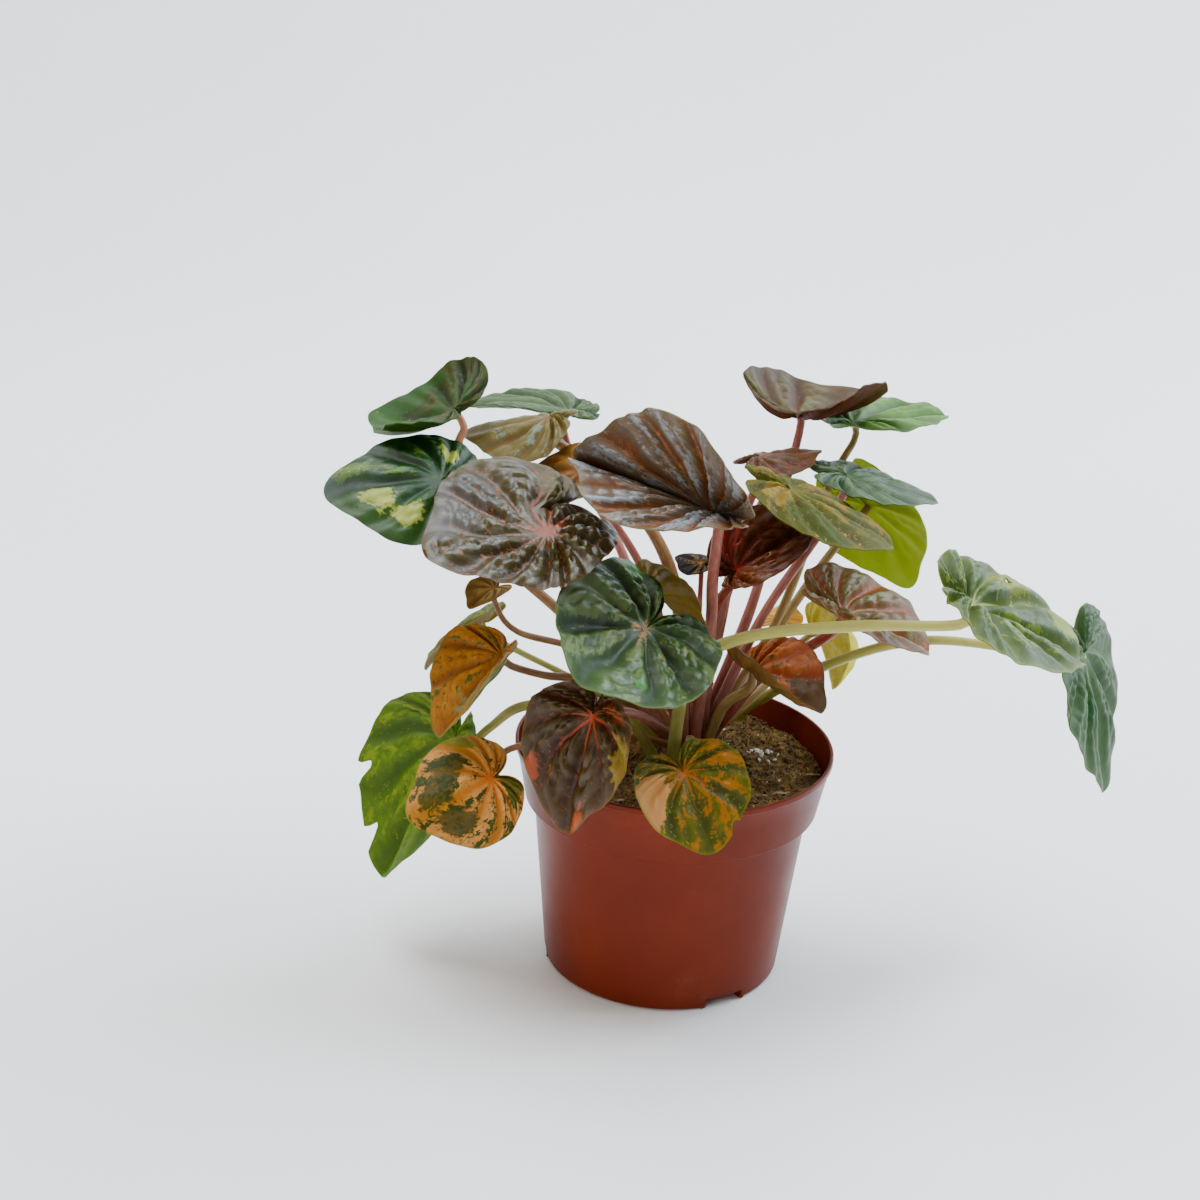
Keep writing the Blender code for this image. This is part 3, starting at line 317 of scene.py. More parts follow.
LOOKS = {
    "leaf_back_left_folded": Look(
        (73, 180, 3), (460, 470, 49), (180, 420, 7), (120, 530, 3), 0.4, CREAM, 0.02, (180, 690, 5),
        (180, 580, 5), 0.38, 0.3, 1.4, 0.6,
        (Zone(0, 0.7, None, (120, 630, 3)),),
    ),
    "leaf_left_green": Look(
        (9, 160, 0), (32, 340, 1), (70, 460, 2), (600, 1200, 8), 0.34, (9, 100, 1), 0.22, (28, 280, 1),
        (83, 360, 2), 0.3, 0.2, 1.1, 0.7,
        (Zone(75, 0.25, None, (160, 570, 15)), Zone(15, 0.62, 0.12, CREAM_LEAF),
         Zone(44, 0.64, 0.14, CREAM_LEAF), Zone(-99, 0.56, 0.16, CREAM_LEAF)),
    ),
    "leaf_back_left_pale": Look(
        (200, 430, 99), (660, 1000, 380), (350, 660, 180), (630, 1100, 360), 0.25, CREAM, 0.0,
        (650, 1100, 250), (500, 820, 190), 0.4, 0.3, 1.4, 0.4,
    ),
    "leaf_back_left_brown": Look(
        (840, 500, 36), (1300, 1000, 160), RUST, (1300, 1800, 1200), 0.32, RUST, 0.25, (1200, 980, 130),
        (1200, 840, 130), 0.36, 0.3, 1.3, 0.9,
    ),
    "leaf_left_large_brown": Look(
        (180, 110, 5), (550, 420, 40), (3600, 450, 80), (850, 820, 660), 0.32, (2600, 700, 60), 0.4,
        (800, 420, 30), (600, 360, 120), 0.22, 0.6, 1.7, 1.9,
        (Zone(-30, 0.74, 0.34, (580, 560, 480)), Zone(-130, 0.6, 0.35, (600, 500, 40))),
    ),
    "leaf_top_large_grey": Look(
        (1200, 360, 30), (1200, 1000, 700), (2800, 550, 60), (2000, 2300, 2500), 0.38, (3200, 850, 80),
        0.4, (1400, 1200, 300), (1200, 750, 350), 0.2, 0.2, 2.3, 1.5,
    ),
    "leaf_front_green": Look(
        (63, 250, 9), (310, 720, 56), (630, 1100, 97), (1000, 1400, 320), 0.36, (3500, 2100, 43), 0.12,
        (730, 1200, 110), (800, 1300, 95), 0.26, 0.3, 1.6, 1.1,
        (Zone(None, 0.93, None, (5200, 2100, 260)), Zone(32, 0.73, 0.06, (100, 2100, 6)),
         Zone(-120, 0.85, 0.07, (130, 1500, 13)), Zone(-60, 0.8, 0.35, (890, 1300, 300))),
    ),
    "leaf_left_small_brown": Look(
        (1100, 480, 60), (2200, 1200, 150), RUST, OLIVE_BROWN, 0.3, RUST, 0.1, (2000, 1200, 150),
        (2200, 1200, 200), 0.45, 0.2, 0.7, 0.2,
    ),
    "leaf_back_centre_olive": Look(
        (770, 280, 2), (1700, 600, 4), RUST, OLIVE_BROWN, 0.4, (3100, 550, 4), 0.25, (1500, 550, 6),
        (1200, 460, 6), 0.38, 0.3, 1.1, 0.8,
    ),
    "leaf_left_orange": Look(
        (2100, 590, 13), (4400, 1700, 52), (1600, 390, 26), (630, 780, 26), 0.34, (130, 430, 26), 0.3,
        (1000, 1400, 160), (1300, 1700, 590), 0.38, 0.35, 1.0, 0.8,
        (Zone(10, 0.62, 0.16, (1700, 2200, 780)), Zone(60, 0.75, 0.25, (1500, 2000, 650))),
    ),
    "leaf_left_small_olive": Look(
        (900, 810, 8), (1900, 1600, 10), OCHRE, (1200, 690, 10), 0.35, RUST, 0.15, (1800, 2000, 20),
        (1700, 1500, 50), 0.42, 0.3, 0.9, 0.5,
        (Zone(-75, 0.5, None, (720, 1100, 10)),),
    ),
    "leaf_low_left_green": Look(
        (300, 710, 3), (850, 1600, 5), (1200, 2000, 30), (1500, 2100, 10), 0.34, (2000, 2300, 30), 0.05,
        (600, 1300, 10), (900, 1400, 25), 0.38, 0.5, 0.8, 0.6,
    ),
    "leaf_low_left_variegated": Look(
        (4100, 1500, 72), (6700, 2900, 660), (6000, 1200, 60), (380, 500, 18), 0.44, (4600, 2200, 18),
        0.22, (1900, 1900, 30), (1900, 1000, 140), 0.4, 0.8, 0.9, 0.5,
        (Zone(-36, 0.62, 0.24, WEDGE_GREEN), Zone(-8, 0.66, 0.2, WEDGE_GREEN),
         Zone(23, 0.68, 0.22, WEDGE_GREEN), Zone(152, 0.6, 0.38, (780, 950, 24)),
         Zone(-80, 0.85, 0.25, (1600, 1700, 24))),
    ),
    "leaf_front_dark": Look(
        (310, 74, 1), (610, 330, 9), (4000, 330, 3), (390, 220, 6), 0.4, (2400, 410, 4), 0.34,
        (1400, 630, 6), (990, 280, 11), 0.28, 0.9, 1.5, 2.2,
        (Zone(64, 0.88, 0.22, (2200, 1500, 3)), Zone(8, 0.92, 0.1, (4000, 660, 22)),
         Zone(-39, 0.95, 0.13, (3300, 440, 6)), Zone(110, 0.7, 0.2, (2400, 440, 4))),
    ),
    "leaf_front_low_variegated": Look(
        (380, 410, 3), (1000, 1000, 4), (3900, 900, 8), (3200, 1100, 8), 0.44, (2000, 2000, 8), 0.28,
        (1400, 1600, 8), (930, 820, 62), 0.38, 0.8, 1.0, 0.8,
        (Zone(-69, 0.82, 0.4, (5300, 2300, 600)),),
    ),
    "leaf_centre_brown": Look(
        (580, 410, 5), (1800, 1600, 36), RUST, OLIVE_BROWN, 0.35, RUST, 0.25, (1600, 1100, 30),
        (1200, 900, 30), 0.34, 0.3, 1.3, 1.1,
    ),
    "leaf_back_small_olive": Look(
        (21, 10, 1), (42, 19, 2), OCHRE, OLIVE_BROWN, 0.3, RUST, 0.1, (70, 30, 4), (70, 26, 4), 0.45, 0.2,
        0.8, 0.3,
    ),
    "leaf_right_dark_red": Look(
        (550, 60, 10), (1500, 500, 100), (4400, 180, 10), (1200, 350, 50), 0.3, (3200, 180, 10), 0.36,
        (800, 250, 40), (800, 160, 40), 0.3, 0.6, 1.6, 2.0,
        (Zone(72, 0.54, 0.25, (1800, 80, 10)),),
    ),
    "leaf_back_right_maroon": Look(
        (410, 80, 5), (830, 300, 40), (1800, 240, 15), (600, 360, 100), 0.3, (2100, 320, 20), 0.42,
        (600, 280, 50), (500, 180, 55), 0.36, 0.3, 1.3, 1.4,
    ),
    "leaf_right_yellow_green": Look(
        (320, 320, 1), (630, 650, 3), (1000, 930, 12), (1600, 930, 30), 0.4, (3300, 1500, 300), 0.3,
        (940, 870, 12), (520, 550, 23), 0.44, 0.35, 1.0, 0.6,
        (Zone(-110, 0.45, 0.3, (2000, 1200, 90)), Zone(-60, 0.7, 0.3, (360, 530, 45))),
    ),
    "leaf_right_grey_green": Look(
        (84, 280, 54), (510, 900, 290), (300, 690, 150), (720, 1200, 500), 0.36, CREAM, 0.02,
        (680, 1100, 210), (340, 690, 47), 0.3, 0.3, 1.5, 0.4,
    ),
    "leaf_top_right_folded": Look(
        (360, 110, 3), (560, 320, 27), RUST, (660, 590, 79), 0.4, RUST, 0.25, (510, 220, 14),
        (660, 150, 7), 0.36, 0.3, 1.3, 0.7,
    ),
    "leaf_top_right_pale": Look(
        (260, 810, 75), (850, 1800, 270), (510, 1400, 170), (880, 1900, 210), 0.34, CREAM, 0.02,
        (1000, 1900, 230), (720, 1800, 58), 0.34, 0.3, 1.5, 0.4,
        (Zone(170, 0.5, None, (1200, 2200, 460)),),
    ),
    "leaf_back_right_lime": Look(
        (2000, 2800, 9), (2900, 3600, 15), (2200, 3200, 15), (1600, 2600, 15), 0.38, CREAM, 0.03,
        (3400, 3800, 60), (2600, 3500, 30), 0.42, 0.3, 0.7, 0.4,
    ),
    "leaf_right_folded": Look(
        (2000, 440, 18), (950, 640, 90), (4600, 980, 60), (1400, 1200, 250), 0.42, (5300, 1300, 110), 0.32,
        (1900, 810, 67), (950, 640, 18), 0.3, 0.5, 1.4, 1.5,
    ),
    "leaf_far_right_variegated": Look(
        (780, 1100, 57), (190, 490, 32), (2200, 2700, 190), (1100, 1700, 97), 0.3, CREAM, 0.14,
        (1600, 2100, 110), (880, 1300, 55), 0.32, 0.9, 1.9, 0.7,
        (Zone(None, 0.9, None, (2300, 2500, 150)), Zone(20, 0.92, 0.16, (1900, 2400, 32)),
         Zone(51, 0.72, 0.16, (1900, 2100, 150))),
    ),
    "leaf_far_right_hanging": Look(
        (470, 970, 210), (170, 550, 84), (930, 1600, 360), (430, 970, 210), 0.3, CREAM, 0.0,
        (590, 1200, 180), (630, 1100, 220), 0.34, 0.5, 1.3, 0.6,
        (Zone(-20, 0.5, 0.12, (68, 530, 36)),),
    ),
    "leaf_centre_small_lime": Look(
        (4600, 2100, 200), (7700, 3800, 510), OCHRE, (6100, 3200, 250), 0.3, OCHRE, 0.1, (7100, 3500, 510),
        (5600, 2900, 510), 0.45, 0.3, 0.4, 0.2,
    ),
    "leaf_right_low_olive": Look(
        (4300, 3400, 73), (7600, 5800, 150), OCHRE, (7100, 4100, 150), 0.35, (9000, 5300, 730), 0.22,
        (3500, 6300, 58), (5100, 4900, 290), 0.4, 0.4, 0.9, 0.5,
        (Zone(-120, 0.5, None, (3000, 5800, 58)),),
    ),
    "leaf_right_low_orange": Look(
        (2600, 330, 10), (4700, 1300, 130), (5000, 670, 38), (1200, 670, 58), 0.34, (5700, 1800, 380), 0.2,
        (710, 590, 77), (1500, 1200, 290), 0.32, 0.5, 1.5, 1.4,
        (Zone(9, 0.9, 0.42, (830, 520, 77)),),
    ),
}

# The stalks' tints at the foot and at the leaf, in plain linear RGB as all that follow.
Skin = namedtuple("Skin", "foot top")
BLUSH = Skin((0.46, 0.24, 0.10), (0.42, 0.18, 0.09))
ROSE = Skin((0.34, 0.115, 0.085), (0.34, 0.09, 0.075))
MAUVE = Skin((0.28, 0.085, 0.06), (0.22, 0.055, 0.045))
RED = Skin((0.22, 0.025, 0.012), (0.20, 0.015, 0.008))
BROWN = Skin((0.26, 0.12, 0.04), (0.20, 0.085, 0.03))
OLIVE = Skin((0.30, 0.20, 0.05), (0.26, 0.16, 0.04))
PALE = Skin((0.30, 0.29, 0.045), (0.44, 0.42, 0.10))
SKINS = {
    "leaf_back_left_folded": BLUSH,
    "leaf_left_green": BROWN,
    "leaf_back_left_brown": BROWN,
    "leaf_left_small_brown": BROWN,
    "leaf_left_orange": BROWN,
    "leaf_low_left_variegated": BLUSH,
    "leaf_front_dark": MAUVE,
    "leaf_front_low_variegated": OLIVE,
    "leaf_centre_brown": MAUVE,
    "leaf_right_dark_red": RED,
    "leaf_right_low_orange": OLIVE,
    "leaf_right_folded": RED,
    "leaf_right_low_olive": OLIVE,
    "leaf_top_right_pale": OLIVE,
    "leaf_back_right_lime": OLIVE,
    "leaf_centre_small_lime": OLIVE,
}


def heart_reach(leaf, angle):
    """The reach of the blade's edge in a direction from its stalk, as a share of its length."""
    off_tip = np.abs((angle + math.pi) % (2 * math.pi) - math.pi)
    body = HEART_BODY + HEART_LEAN * np.cos(off_tip)
    drawn_out = ROUND_TIP if leaf.name in ROUND_TIPS else HEART_TIP
    tip = drawn_out * np.exp(-((off_tip / HEART_TIP_SPREAD) ** 2))
    sinus = HEART_SINUS * np.exp(-(((math.pi - off_tip) / HEART_SINUS_SPREAD) ** 2))
    return body + tip - sinus


def blade_surface(leaf, share, angle, height):
    """Points on the blade in its own frame: the tip along +X, and its upper face up."""
    turned = angle * (1 + VEIN_ARCH * (1 - share) * (1 - (angle / math.pi) ** 2))
    reach = heart_reach(leaf, turned) * share
    x = leaf.length * reach * np.cos(turned)
    x = np.where(x < 0, x * leaf.back, x)
    y = leaf.width / (2 * HEART_BODY) * reach * np.sin(turned)
    across = np.abs(y)
    slope = math.radians(leaf.fold) - math.radians(leaf.curl) * across / leaf.width
    raised = (np.sqrt(across**2 + CREASE_ROUNDING**2) - CREASE_ROUNDING) * np.sin(slope) + height
    y = y * np.cos(slope)
    back_reach = LOBE_SHARE * leaf.length * leaf.back
    tip_bend = math.radians(leaf.droop) * x / leaf.length
    lobe_bend = -math.radians(leaf.lobes) * x / back_reach
    bend = np.where(x > 0, tip_bend, lobe_bend)
    z = raised * np.cos(bend) - np.abs(x) * np.sin(bend / 2)
    x = x * np.cos(bend / 2) + np.sign(x) * raised * np.sin(bend)
    return np.stack([x, y, z], axis=-1)


def spin(turn):
    """The matrix of a turn about Z."""
    return np.array(
        [[math.cos(turn), -math.sin(turn), 0], [math.sin(turn), math.cos(turn), 0], [0, 0, 1]]
    )


def leaf_axes(leaf):
    """The blade's own X, Y and Z axes as the columns of a matrix."""
    heading, pitch, roll = (math.radians(value) for value in (leaf.heading, leaf.pitch, leaf.roll))
    tilt = np.array(
        [[math.cos(pitch), 0, -math.sin(pitch)], [0, 1, 0], [math.sin(pitch), 0, math.cos(pitch)]]
    )
    bank = np.array(
        [[1, 0, 0], [0, math.cos(roll), -math.sin(roll)], [0, math.sin(roll), math.cos(roll)]]
    )
    return spin(heading) @ tilt @ bank


def blade_normals(leaf, share, angle):
    """Unit normals of the blade without its ripple."""
    step = 1e-3
    inner = np.clip(share, 0.15, 1 - step)
    along = blade_surface(leaf, inner + step, angle, 0) - blade_surface(leaf, inner, angle, 0)
    around = blade_surface(leaf, inner, angle + step, 0) - blade_surface(leaf, inner, angle, 0)
    normals = np.cross(along, around)
    return normals / np.linalg.norm(normals, axis=-1, keepdims=True)


def smooth_route(points, step):
    """Points at about the given step along a smooth curve through the given points."""
    points = [np.array(point, float) for point in points]
    ends = [2 * points[0] - points[1]] + points + [2 * points[-1] - points[-2]]
    route = []
    for a, b, c, d in zip(ends, ends[1:], ends[2:], ends[3:]):
        count = max(1, round(np.linalg.norm(c - b) / step))
        for k in range(count):
            t = k / count
            curve = (2 * a - 5 * b + 4 * c - d) * t**2 + (3 * b - a - 3 * c + d) * t**3
            route.append(0.5 * (2 * b + (c - a) * t + curve))
    route.append(points[-1])
    return np.array(route)


def turned(profile, sides):
    """Points and faces of a closed solid turned from (radius, height) pairs, listed from the top
    down the outside and back up the inside. A pair with no radius is a point on the axis."""
    points = []
    rows = []
    for radius, height in profile:
        if radius == 0:
            rows.append([len(points)] * sides)
            points.append((0, 0, height))
            continue
        rows.append([len(points) + k for k in range(sides)])
        for k in range(sides):
            turn = 2 * math.pi * k / sides
            points.append((radius * math.cos(turn), radius * math.sin(turn), height))
    faces = []
    for row, below in zip(rows, rows[1:] + rows[:1]):
        for k in range(sides):
            after = (k + 1) % sides
            corners = (row[k], below[k], below[after], row[after])
            face = tuple(dict.fromkeys(corners))
            if len(face) > 2:
                faces.append(face)
    return points, faces


def outer_radius(height):
    """The pot's outer radius below the band."""
    return BASE_RADIUS + (WALL_TOP_RADIUS - BASE_RADIUS) * height / BAND_BOTTOM_HEIGHT


def band_radius(height):
    share = (height - BAND_BOTTOM_HEIGHT) / (POT_HEIGHT - BAND_BOTTOM_HEIGHT)
    return BAND_BOTTOM_RADIUS + (RIM_RADIUS - BAND_BOTTOM_RADIUS) * share


def channel_headings():
    return [CHANNEL_HEADING + k * 360 / CHANNELS for k in range(CHANNELS)]


def soil_height(x, y):
    """The lumpy top of the soil, heaped a little against the crown."""
    away = np.hypot(x - CROWN_AT[0], y - CROWN_AT[1])
    lumps = np.sin(0.23 * x + 1.3) * np.cos(0.19 * y - 0.4) + 0.6 * np.sin(0.11 * x - 0.31 * y)
    return SOIL_TOP + SOIL_RIPPLE * lumps + 0.8 * np.exp(-((away / 22) ** 2))


def add_mesh(name, points, faces, material, smooth_angle=60, floats=None, vectors=None):
    """A mesh object of points in millimetres, with its per-point numbers and vectors."""
    mesh = bpy.data.meshes.new(name)
    faces = [tuple(map(int, face)) for face in faces]
    mesh.from_pydata((np.asarray(points, float) * MM).tolist(), [], faces)
    mesh.validate()
    mesh.materials.append(material)
    mesh.shade_smooth()
    mesh.set_sharp_from_angle(angle=math.radians(smooth_angle))
    for key, values in (floats or {}).items():
        attribute = mesh.attributes.new(key, "FLOAT", "POINT")
        attribute.data.foreach_set("value", np.asarray(values, np.float32))
    for key, values in (vectors or {}).items():
        attribute = mesh.attributes.new(key, "FLOAT_VECTOR", "POINT")
        attribute.data.foreach_set("vector", np.asarray(values, np.float32).ravel())
    obj = bpy.data.objects.new(name, mesh)
    bpy.context.scene.collection.objects.link(obj)
    return obj


def dress(piece, slot, *nodes):
    """The piece stands for these CAD nodes, which it hides, and hangs from the root body. The slot is not
    used.
    """
    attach(piece, "root")
    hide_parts(*nodes)
    return piece


def slot_of(node):
    for entry in frame["record"]["subparts"]:
        if entry["node"] == node:
            return entry["material_slot"]
    return None


# Materials.


class Value:
    """A value in a material's tree. Adding to it or multiplying it puts in a math node."""

    def __init__(self, tree, socket):
        self.tree = tree
        self.socket = socket

    def __add__(self, other):
        return self.tree.math("ADD", self, other)

    def __sub__(self, other):
        return self.tree.math("SUBTRACT", self, other)

    def __rsub__(self, other):
        return self.tree.math("SUBTRACT", other, self)

    def __mul__(self, other):
        return self.tree.math("MULTIPLY", self, other)


class Tree:
    """Short calls for building one material's nodes."""

    def __init__(self, name, roughness):
        self.material = bpy.data.materials.new(name)
        self.material.use_nodes = True
        self.shader = self.material.node_tree.nodes["Principled BSDF"]
        self.surface({"Roughness": roughness})

    def put(self, value, socket):
        if isinstance(value, Value):
            self.material.node_tree.links.new(value.socket, socket)
        elif isinstance(value, tuple) and len(socket.default_value) == 4:
            socket.default_value = (*value, 1)
        else:
            socket.default_value = value

    def surface(self, inputs):
        for key, value in inputs.items():
            self.put(value, self.shader.inputs[key])

    def node(self, kind, output, inputs, **settings):
        """A new node with its settings and inputs, as the value of one of its outputs."""
        node = self.material.node_tree.nodes.new("ShaderNode" + kind)
        for key, value in settings.items():
            setattr(node, key, value)
        for key, value in inputs.items():
            self.put(value, node.inputs[key])
        return Value(self, node.outputs[output])

    def attribute(self, name, output="Fac"):
        return self.node("Attribute", output, {}, attribute_name=name)

    def place(self):
        return self.node("TexCoord", "Object", {})

    def noise(self, vector, scale, detail, roughness, distortion=0.0):
        inputs = {"Vector": vector, "Scale": scale, "Detail": detail}
        inputs |= {"Roughness": roughness, "Distortion": distortion}
        return self.node("TexNoise", "Fac", inputs)

    def cells(self, vector, scale):
        return self.node("TexVoronoi", "Distance", {"Vector": vector, "Scale": scale})

    def step(self, value, low, high):
        """0 below low, 1 above high, and smooth between them."""
        inputs = {"Value": value, "From Min": low, "From Max": high}
        return self.node("MapRange", "Result", inputs, interpolation_type="SMOOTHSTEP")

    def math(self, operation, first, second):
        return self.node("Math", "Value", {0: first, 1: second}, operation=operation)

    def mix(self, share, first, second):
        return self.node("Mix", "Result", {"Factor": share, "A": first, "B": second}, data_type="RGBA")

    def bump(self, height, depth, strength, below=None):
        inputs = {"Strength": strength, "Distance": depth * MM, "Height": height}
        if below is not None:
            inputs["Normal"] = below
        return self.node("Bump", "Normal", inputs)


def linear(colour):
    return tuple(part / COLOUR_UNIT for part in colour)


def leaf_material(leaf, look):
    """A waxy leaf: dark valleys, partly painted shade; paler puffs whose tops are lightened, partly the
    leaf's silver and partly a painted highlight; splashes and specks, and zones of other colours.
    """
    look = look._replace(**{key: linear(getattr(look, key)) for key in LOOK_COLOURS})
    tree = Tree(leaf.name, look.gloss)
    flat = tree.attribute("flat", "Vector")
    fan = tree.attribute("fan", "Vector")
    ridge = tree.attribute("ridge")
    broad = tree.noise(flat, 1.3, 4.0, 0.6, 0.6)
    tone = tree.noise(flat, 3.2, 4.0, 0.65, 0.4)
    fine = tree.noise(flat, 6.0, 5.0, 0.68, 0.5)
    wedges = tree.noise(fan, 1.6, 4.0, 0.62, 0.5)

    # The puff tops are lightened towards a brighter copy of the ridge colour: partly the leaf's own
    # silver, partly a painted highlight.
    silver_and_highlight = tuple(min(1.0, SILVER_AND_HIGHLIGHT_GAIN * value) for value in look.ridge)
    # The creases take the valley colour, partly the leaf's own colour and partly painted shade, and the
    # puffs the ridge colour.
    colour = tree.mix(tree.step(ridge, 0.15, 0.75), look.valley, look.ridge)
    colour = tree.mix(tree.step(ridge, 0.7, 1.0) * 0.7, colour, silver_and_highlight)
    colour = tree.mix(tree.step(tone, 0.3, 0.65), tree.mix(0.6, colour, look.valley), colour)

    mottle = broad * 0.3 + wedges * 0.7 + (fine - 0.5) * 0.5 + (ridge - 0.5) * 0.22
    edge = 0.62 + 0.30 * (0.5 - look.splash_share)
    colour = tree.mix(tree.step(mottle, edge - 0.10, edge - 0.04), colour, look.splash)
    for number, zone in enumerate(look.zones):
        part = tree.attribute(f"zone_{number}") + mottle * 2.4
        colour = tree.mix(tree.step(part, 1.62, 1.84) * 0.88, colour, linear(zone.colour))
    if look.speck_share > 0:
        dots = tree.noise(flat, 5.5, 5.0, 0.72, 1.0) + (0.5 - ridge) * 0.14
        level = 0.68 - 0.26 * look.speck_share
        colour = tree.mix(tree.step(dots, level, level + 0.04), colour, look.speck)

    veined = tree.step(tree.attribute("vein"), 0.2, 0.9) * look.shown
    colour = tree.mix(veined, colour, look.vein)
    colour = tree.mix(tree.attribute("hub") * (0.5 + 0.4 * look.shown), colour, look.vein)
    colour = tree.mix(tree.attribute("rim") * 0.7, colour, look.rim)
    below = tree.mix(tree.step(fine, 0.35, 0.7), look.under, tree.mix(0.5, look.under, look.vein))
    colour = tree.mix(tree.attribute("under"), colour, below)

    normal = tree.bump(tree.cells(flat, 24.0), 0.12, 0.35)
    normal = tree.bump(tree.noise(flat, 50.0, 2.0, 0.5), 0.07, 0.35, normal)
    roughness = fine * 0.3 + (look.gloss - 0.08) + (1.0 - ridge) * 0.15
    shine = max(0.1, LEAF_SHINE - 1.6 * (look.gloss - 0.27))
    tree.surface({"Base Color": colour, "Normal": normal, "Roughness": roughness})
    tree.surface({"Specular IOR Level": shine, "Subsurface Weight": 0.08})
    tree.surface({"Subsurface Radius": (0.6, 1.0, 0.2), "Subsurface Scale": MM})
    return tree.material


def stalk_material(name, skin):
    """A smooth fleshy skin that turns from one tint at the foot to another at the leaf."""
    tree = Tree(name, 0.42)
    place = tree.attribute("skin", "Vector")
    streaks = tree.noise(place, 3.0, 4.0, 0.6)
    specks = tree.noise(place, 14.0, 3.0, 0.6)
    colour = tree.mix(tree.step(tree.attribute("along"), 0.1, 0.9), skin.foot, skin.top)
    streaked = tree.mix(0.10, colour, (1.0, 0.8, 0.4))
    colour = tree.mix(tree.step(streaks, 0.35, 0.7), colour, streaked)
    specked = tree.mix(0.25, colour, (0.16, 0.02, 0.012))
    colour = tree.mix(tree.step(specks, 0.58, 0.72), colour, specked)
    tree.surface({"Base Color": colour, "Normal": tree.bump(streaks, 0.05, 0.3)})
    tree.surface({"Specular IOR Level": 0.3, "Subsurface Weight": 0.2})
    tree.surface({"Subsurface Radius": (1.0, 0.5, 0.3), "Subsurface Scale": 1.5 * MM})
    return tree.material


def pot_material():
    """Moulded terracotta-coloured plastic with scuffs and a little soil stuck to it."""
    tree = Tree("pot_plastic", 0.36)
    place = tree.place()
    tone = tree.noise(place, 22.0, 4.0, 0.55)
    dust = tree.noise(place, 60.0, 5.0, 0.7)
    grime = tree.noise(place, 260.0, 3.0, 0.6)
    patches = tree.noise(place, 30.0, 3.0, 0.6)
    colour = tree.mix(tree.step(tone, 0.3, 0.75), (0.125, 0.0105, 0.0003), (0.16, 0.016, 0.0005))
    colour = tree.mix(tree.step(dust, 0.56, 0.8) * 0.16, colour, (0.26, 0.09, 0.04))
    spots = tree.step(grime, 0.70, 0.76) * tree.step(patches, 0.50, 0.62)
    colour = tree.mix(spots, colour, (0.03, 0.012, 0.005))
    normal = tree.bump(tree.noise(place, 700.0, 2.0, 0.5), 0.05, 0.3)
    normal = tree.bump(tree.noise(place, 40.0, 3.0, 0.5), 0.2, 0.25, normal)
    tree.surface({"Base Color": colour, "Normal": normal, "Roughness": dust * 0.25 + 0.24})
    tree.surface({"Specular IOR Level": 0.14})
    return tree.material


def soil_material():
    """Damp brown peat with paler grains."""
    tree = Tree("peat", 0.95)
    place = tree.place()
    tone = tree.noise(place, 260.0, 5.0, 0.7)
    pale = tree.noise(place, 900.0, 3.0, 0.6)
    colour = tree.mix(tree.step(tone, 0.35, 0.7), (0.050, 0.028, 0.004), (0.30, 0.165, 0.030))
    colour = tree.mix(tree.step(pale, 0.6, 0.75) * 0.5, colour, (0.30, 0.18, 0.06))
    normal = tree.bump(pale, 0.4, 0.6, tree.bump(tone, 1.2, 0.8))
    tree.surface({"Base Color": colour, "Normal": normal})
    return tree.material


def plain_material(name, first, second, scale, roughness, depth):
    """Grit, bark and fibres: two tints of one colour with a rough surface."""
    tree = Tree(name, roughness)
    tone = tree.noise(tree.place(), scale, 4.0, 0.6)
    colour = tree.mix(tree.step(tone, 0.3, 0.7), first, second)
    tree.surface({"Base Color": colour, "Normal": tree.bump(tone, depth, 0.6)})
    return tree.material


# Leaves.


def edge_scale(leaf, angle, phase):
    """The margin's slow waves, and the bites out of one leaf, as a share of its reach."""
    waves = 0.98 + 0.012 * np.sin(5 * angle + phase) + 0.008 * np.sin(11 * angle + 2.3 * phase)
    for name, at, half_width, depth in BITES:
        if name == leaf.name:
            off = (angle - math.radians(at) + math.pi) % (2 * math.pi) - math.pi
            waves = waves - depth * np.exp(-((off / math.radians(half_width)) ** 4))
    return waves


def wander(x, y, phase, size):
    """A smooth random-looking value between -1 and 1 over the blade, of about this size in mm."""
    total = 0
    for k in range(1, 5):
        turn = 2.4 * k + phase
        wave = math.tau / size * (0.6 + 0.25 * k)
        along = x * math.cos(turn) + y * math.sin(turn)
        total = total + np.sin(wave * along + 1.9 * k * phase) / k
    return total / 2.08


def around_hub(leaf, share, angle):
    """Share and angle as seen from where the veins meet, which on one blade lies off the stalk."""
    if leaf.name not in HUBS:
        return share, angle
    hub_x, hub_y = HUBS[leaf.name]
    reach = leaf.length * share * heart_reach(leaf, angle)
    x, y = reach * np.cos(angle) - hub_x, reach * np.sin(angle) - hub_y
    turns = np.linspace(-math.pi, math.pi, 720, endpoint=False)
    edge = leaf.length * heart_reach(leaf, turns)
    edge_x, edge_y = edge * np.cos(turns) - hub_x, edge * np.sin(turns) - hub_y
    limit = np.interp(
        np.arctan2(y, x), np.arctan2(edge_y, edge_x), np.hypot(edge_x, edge_y), period=math.tau
    )
    return np.clip(np.hypot(x, y) / limit, 0, 1), np.arctan2(y, x)


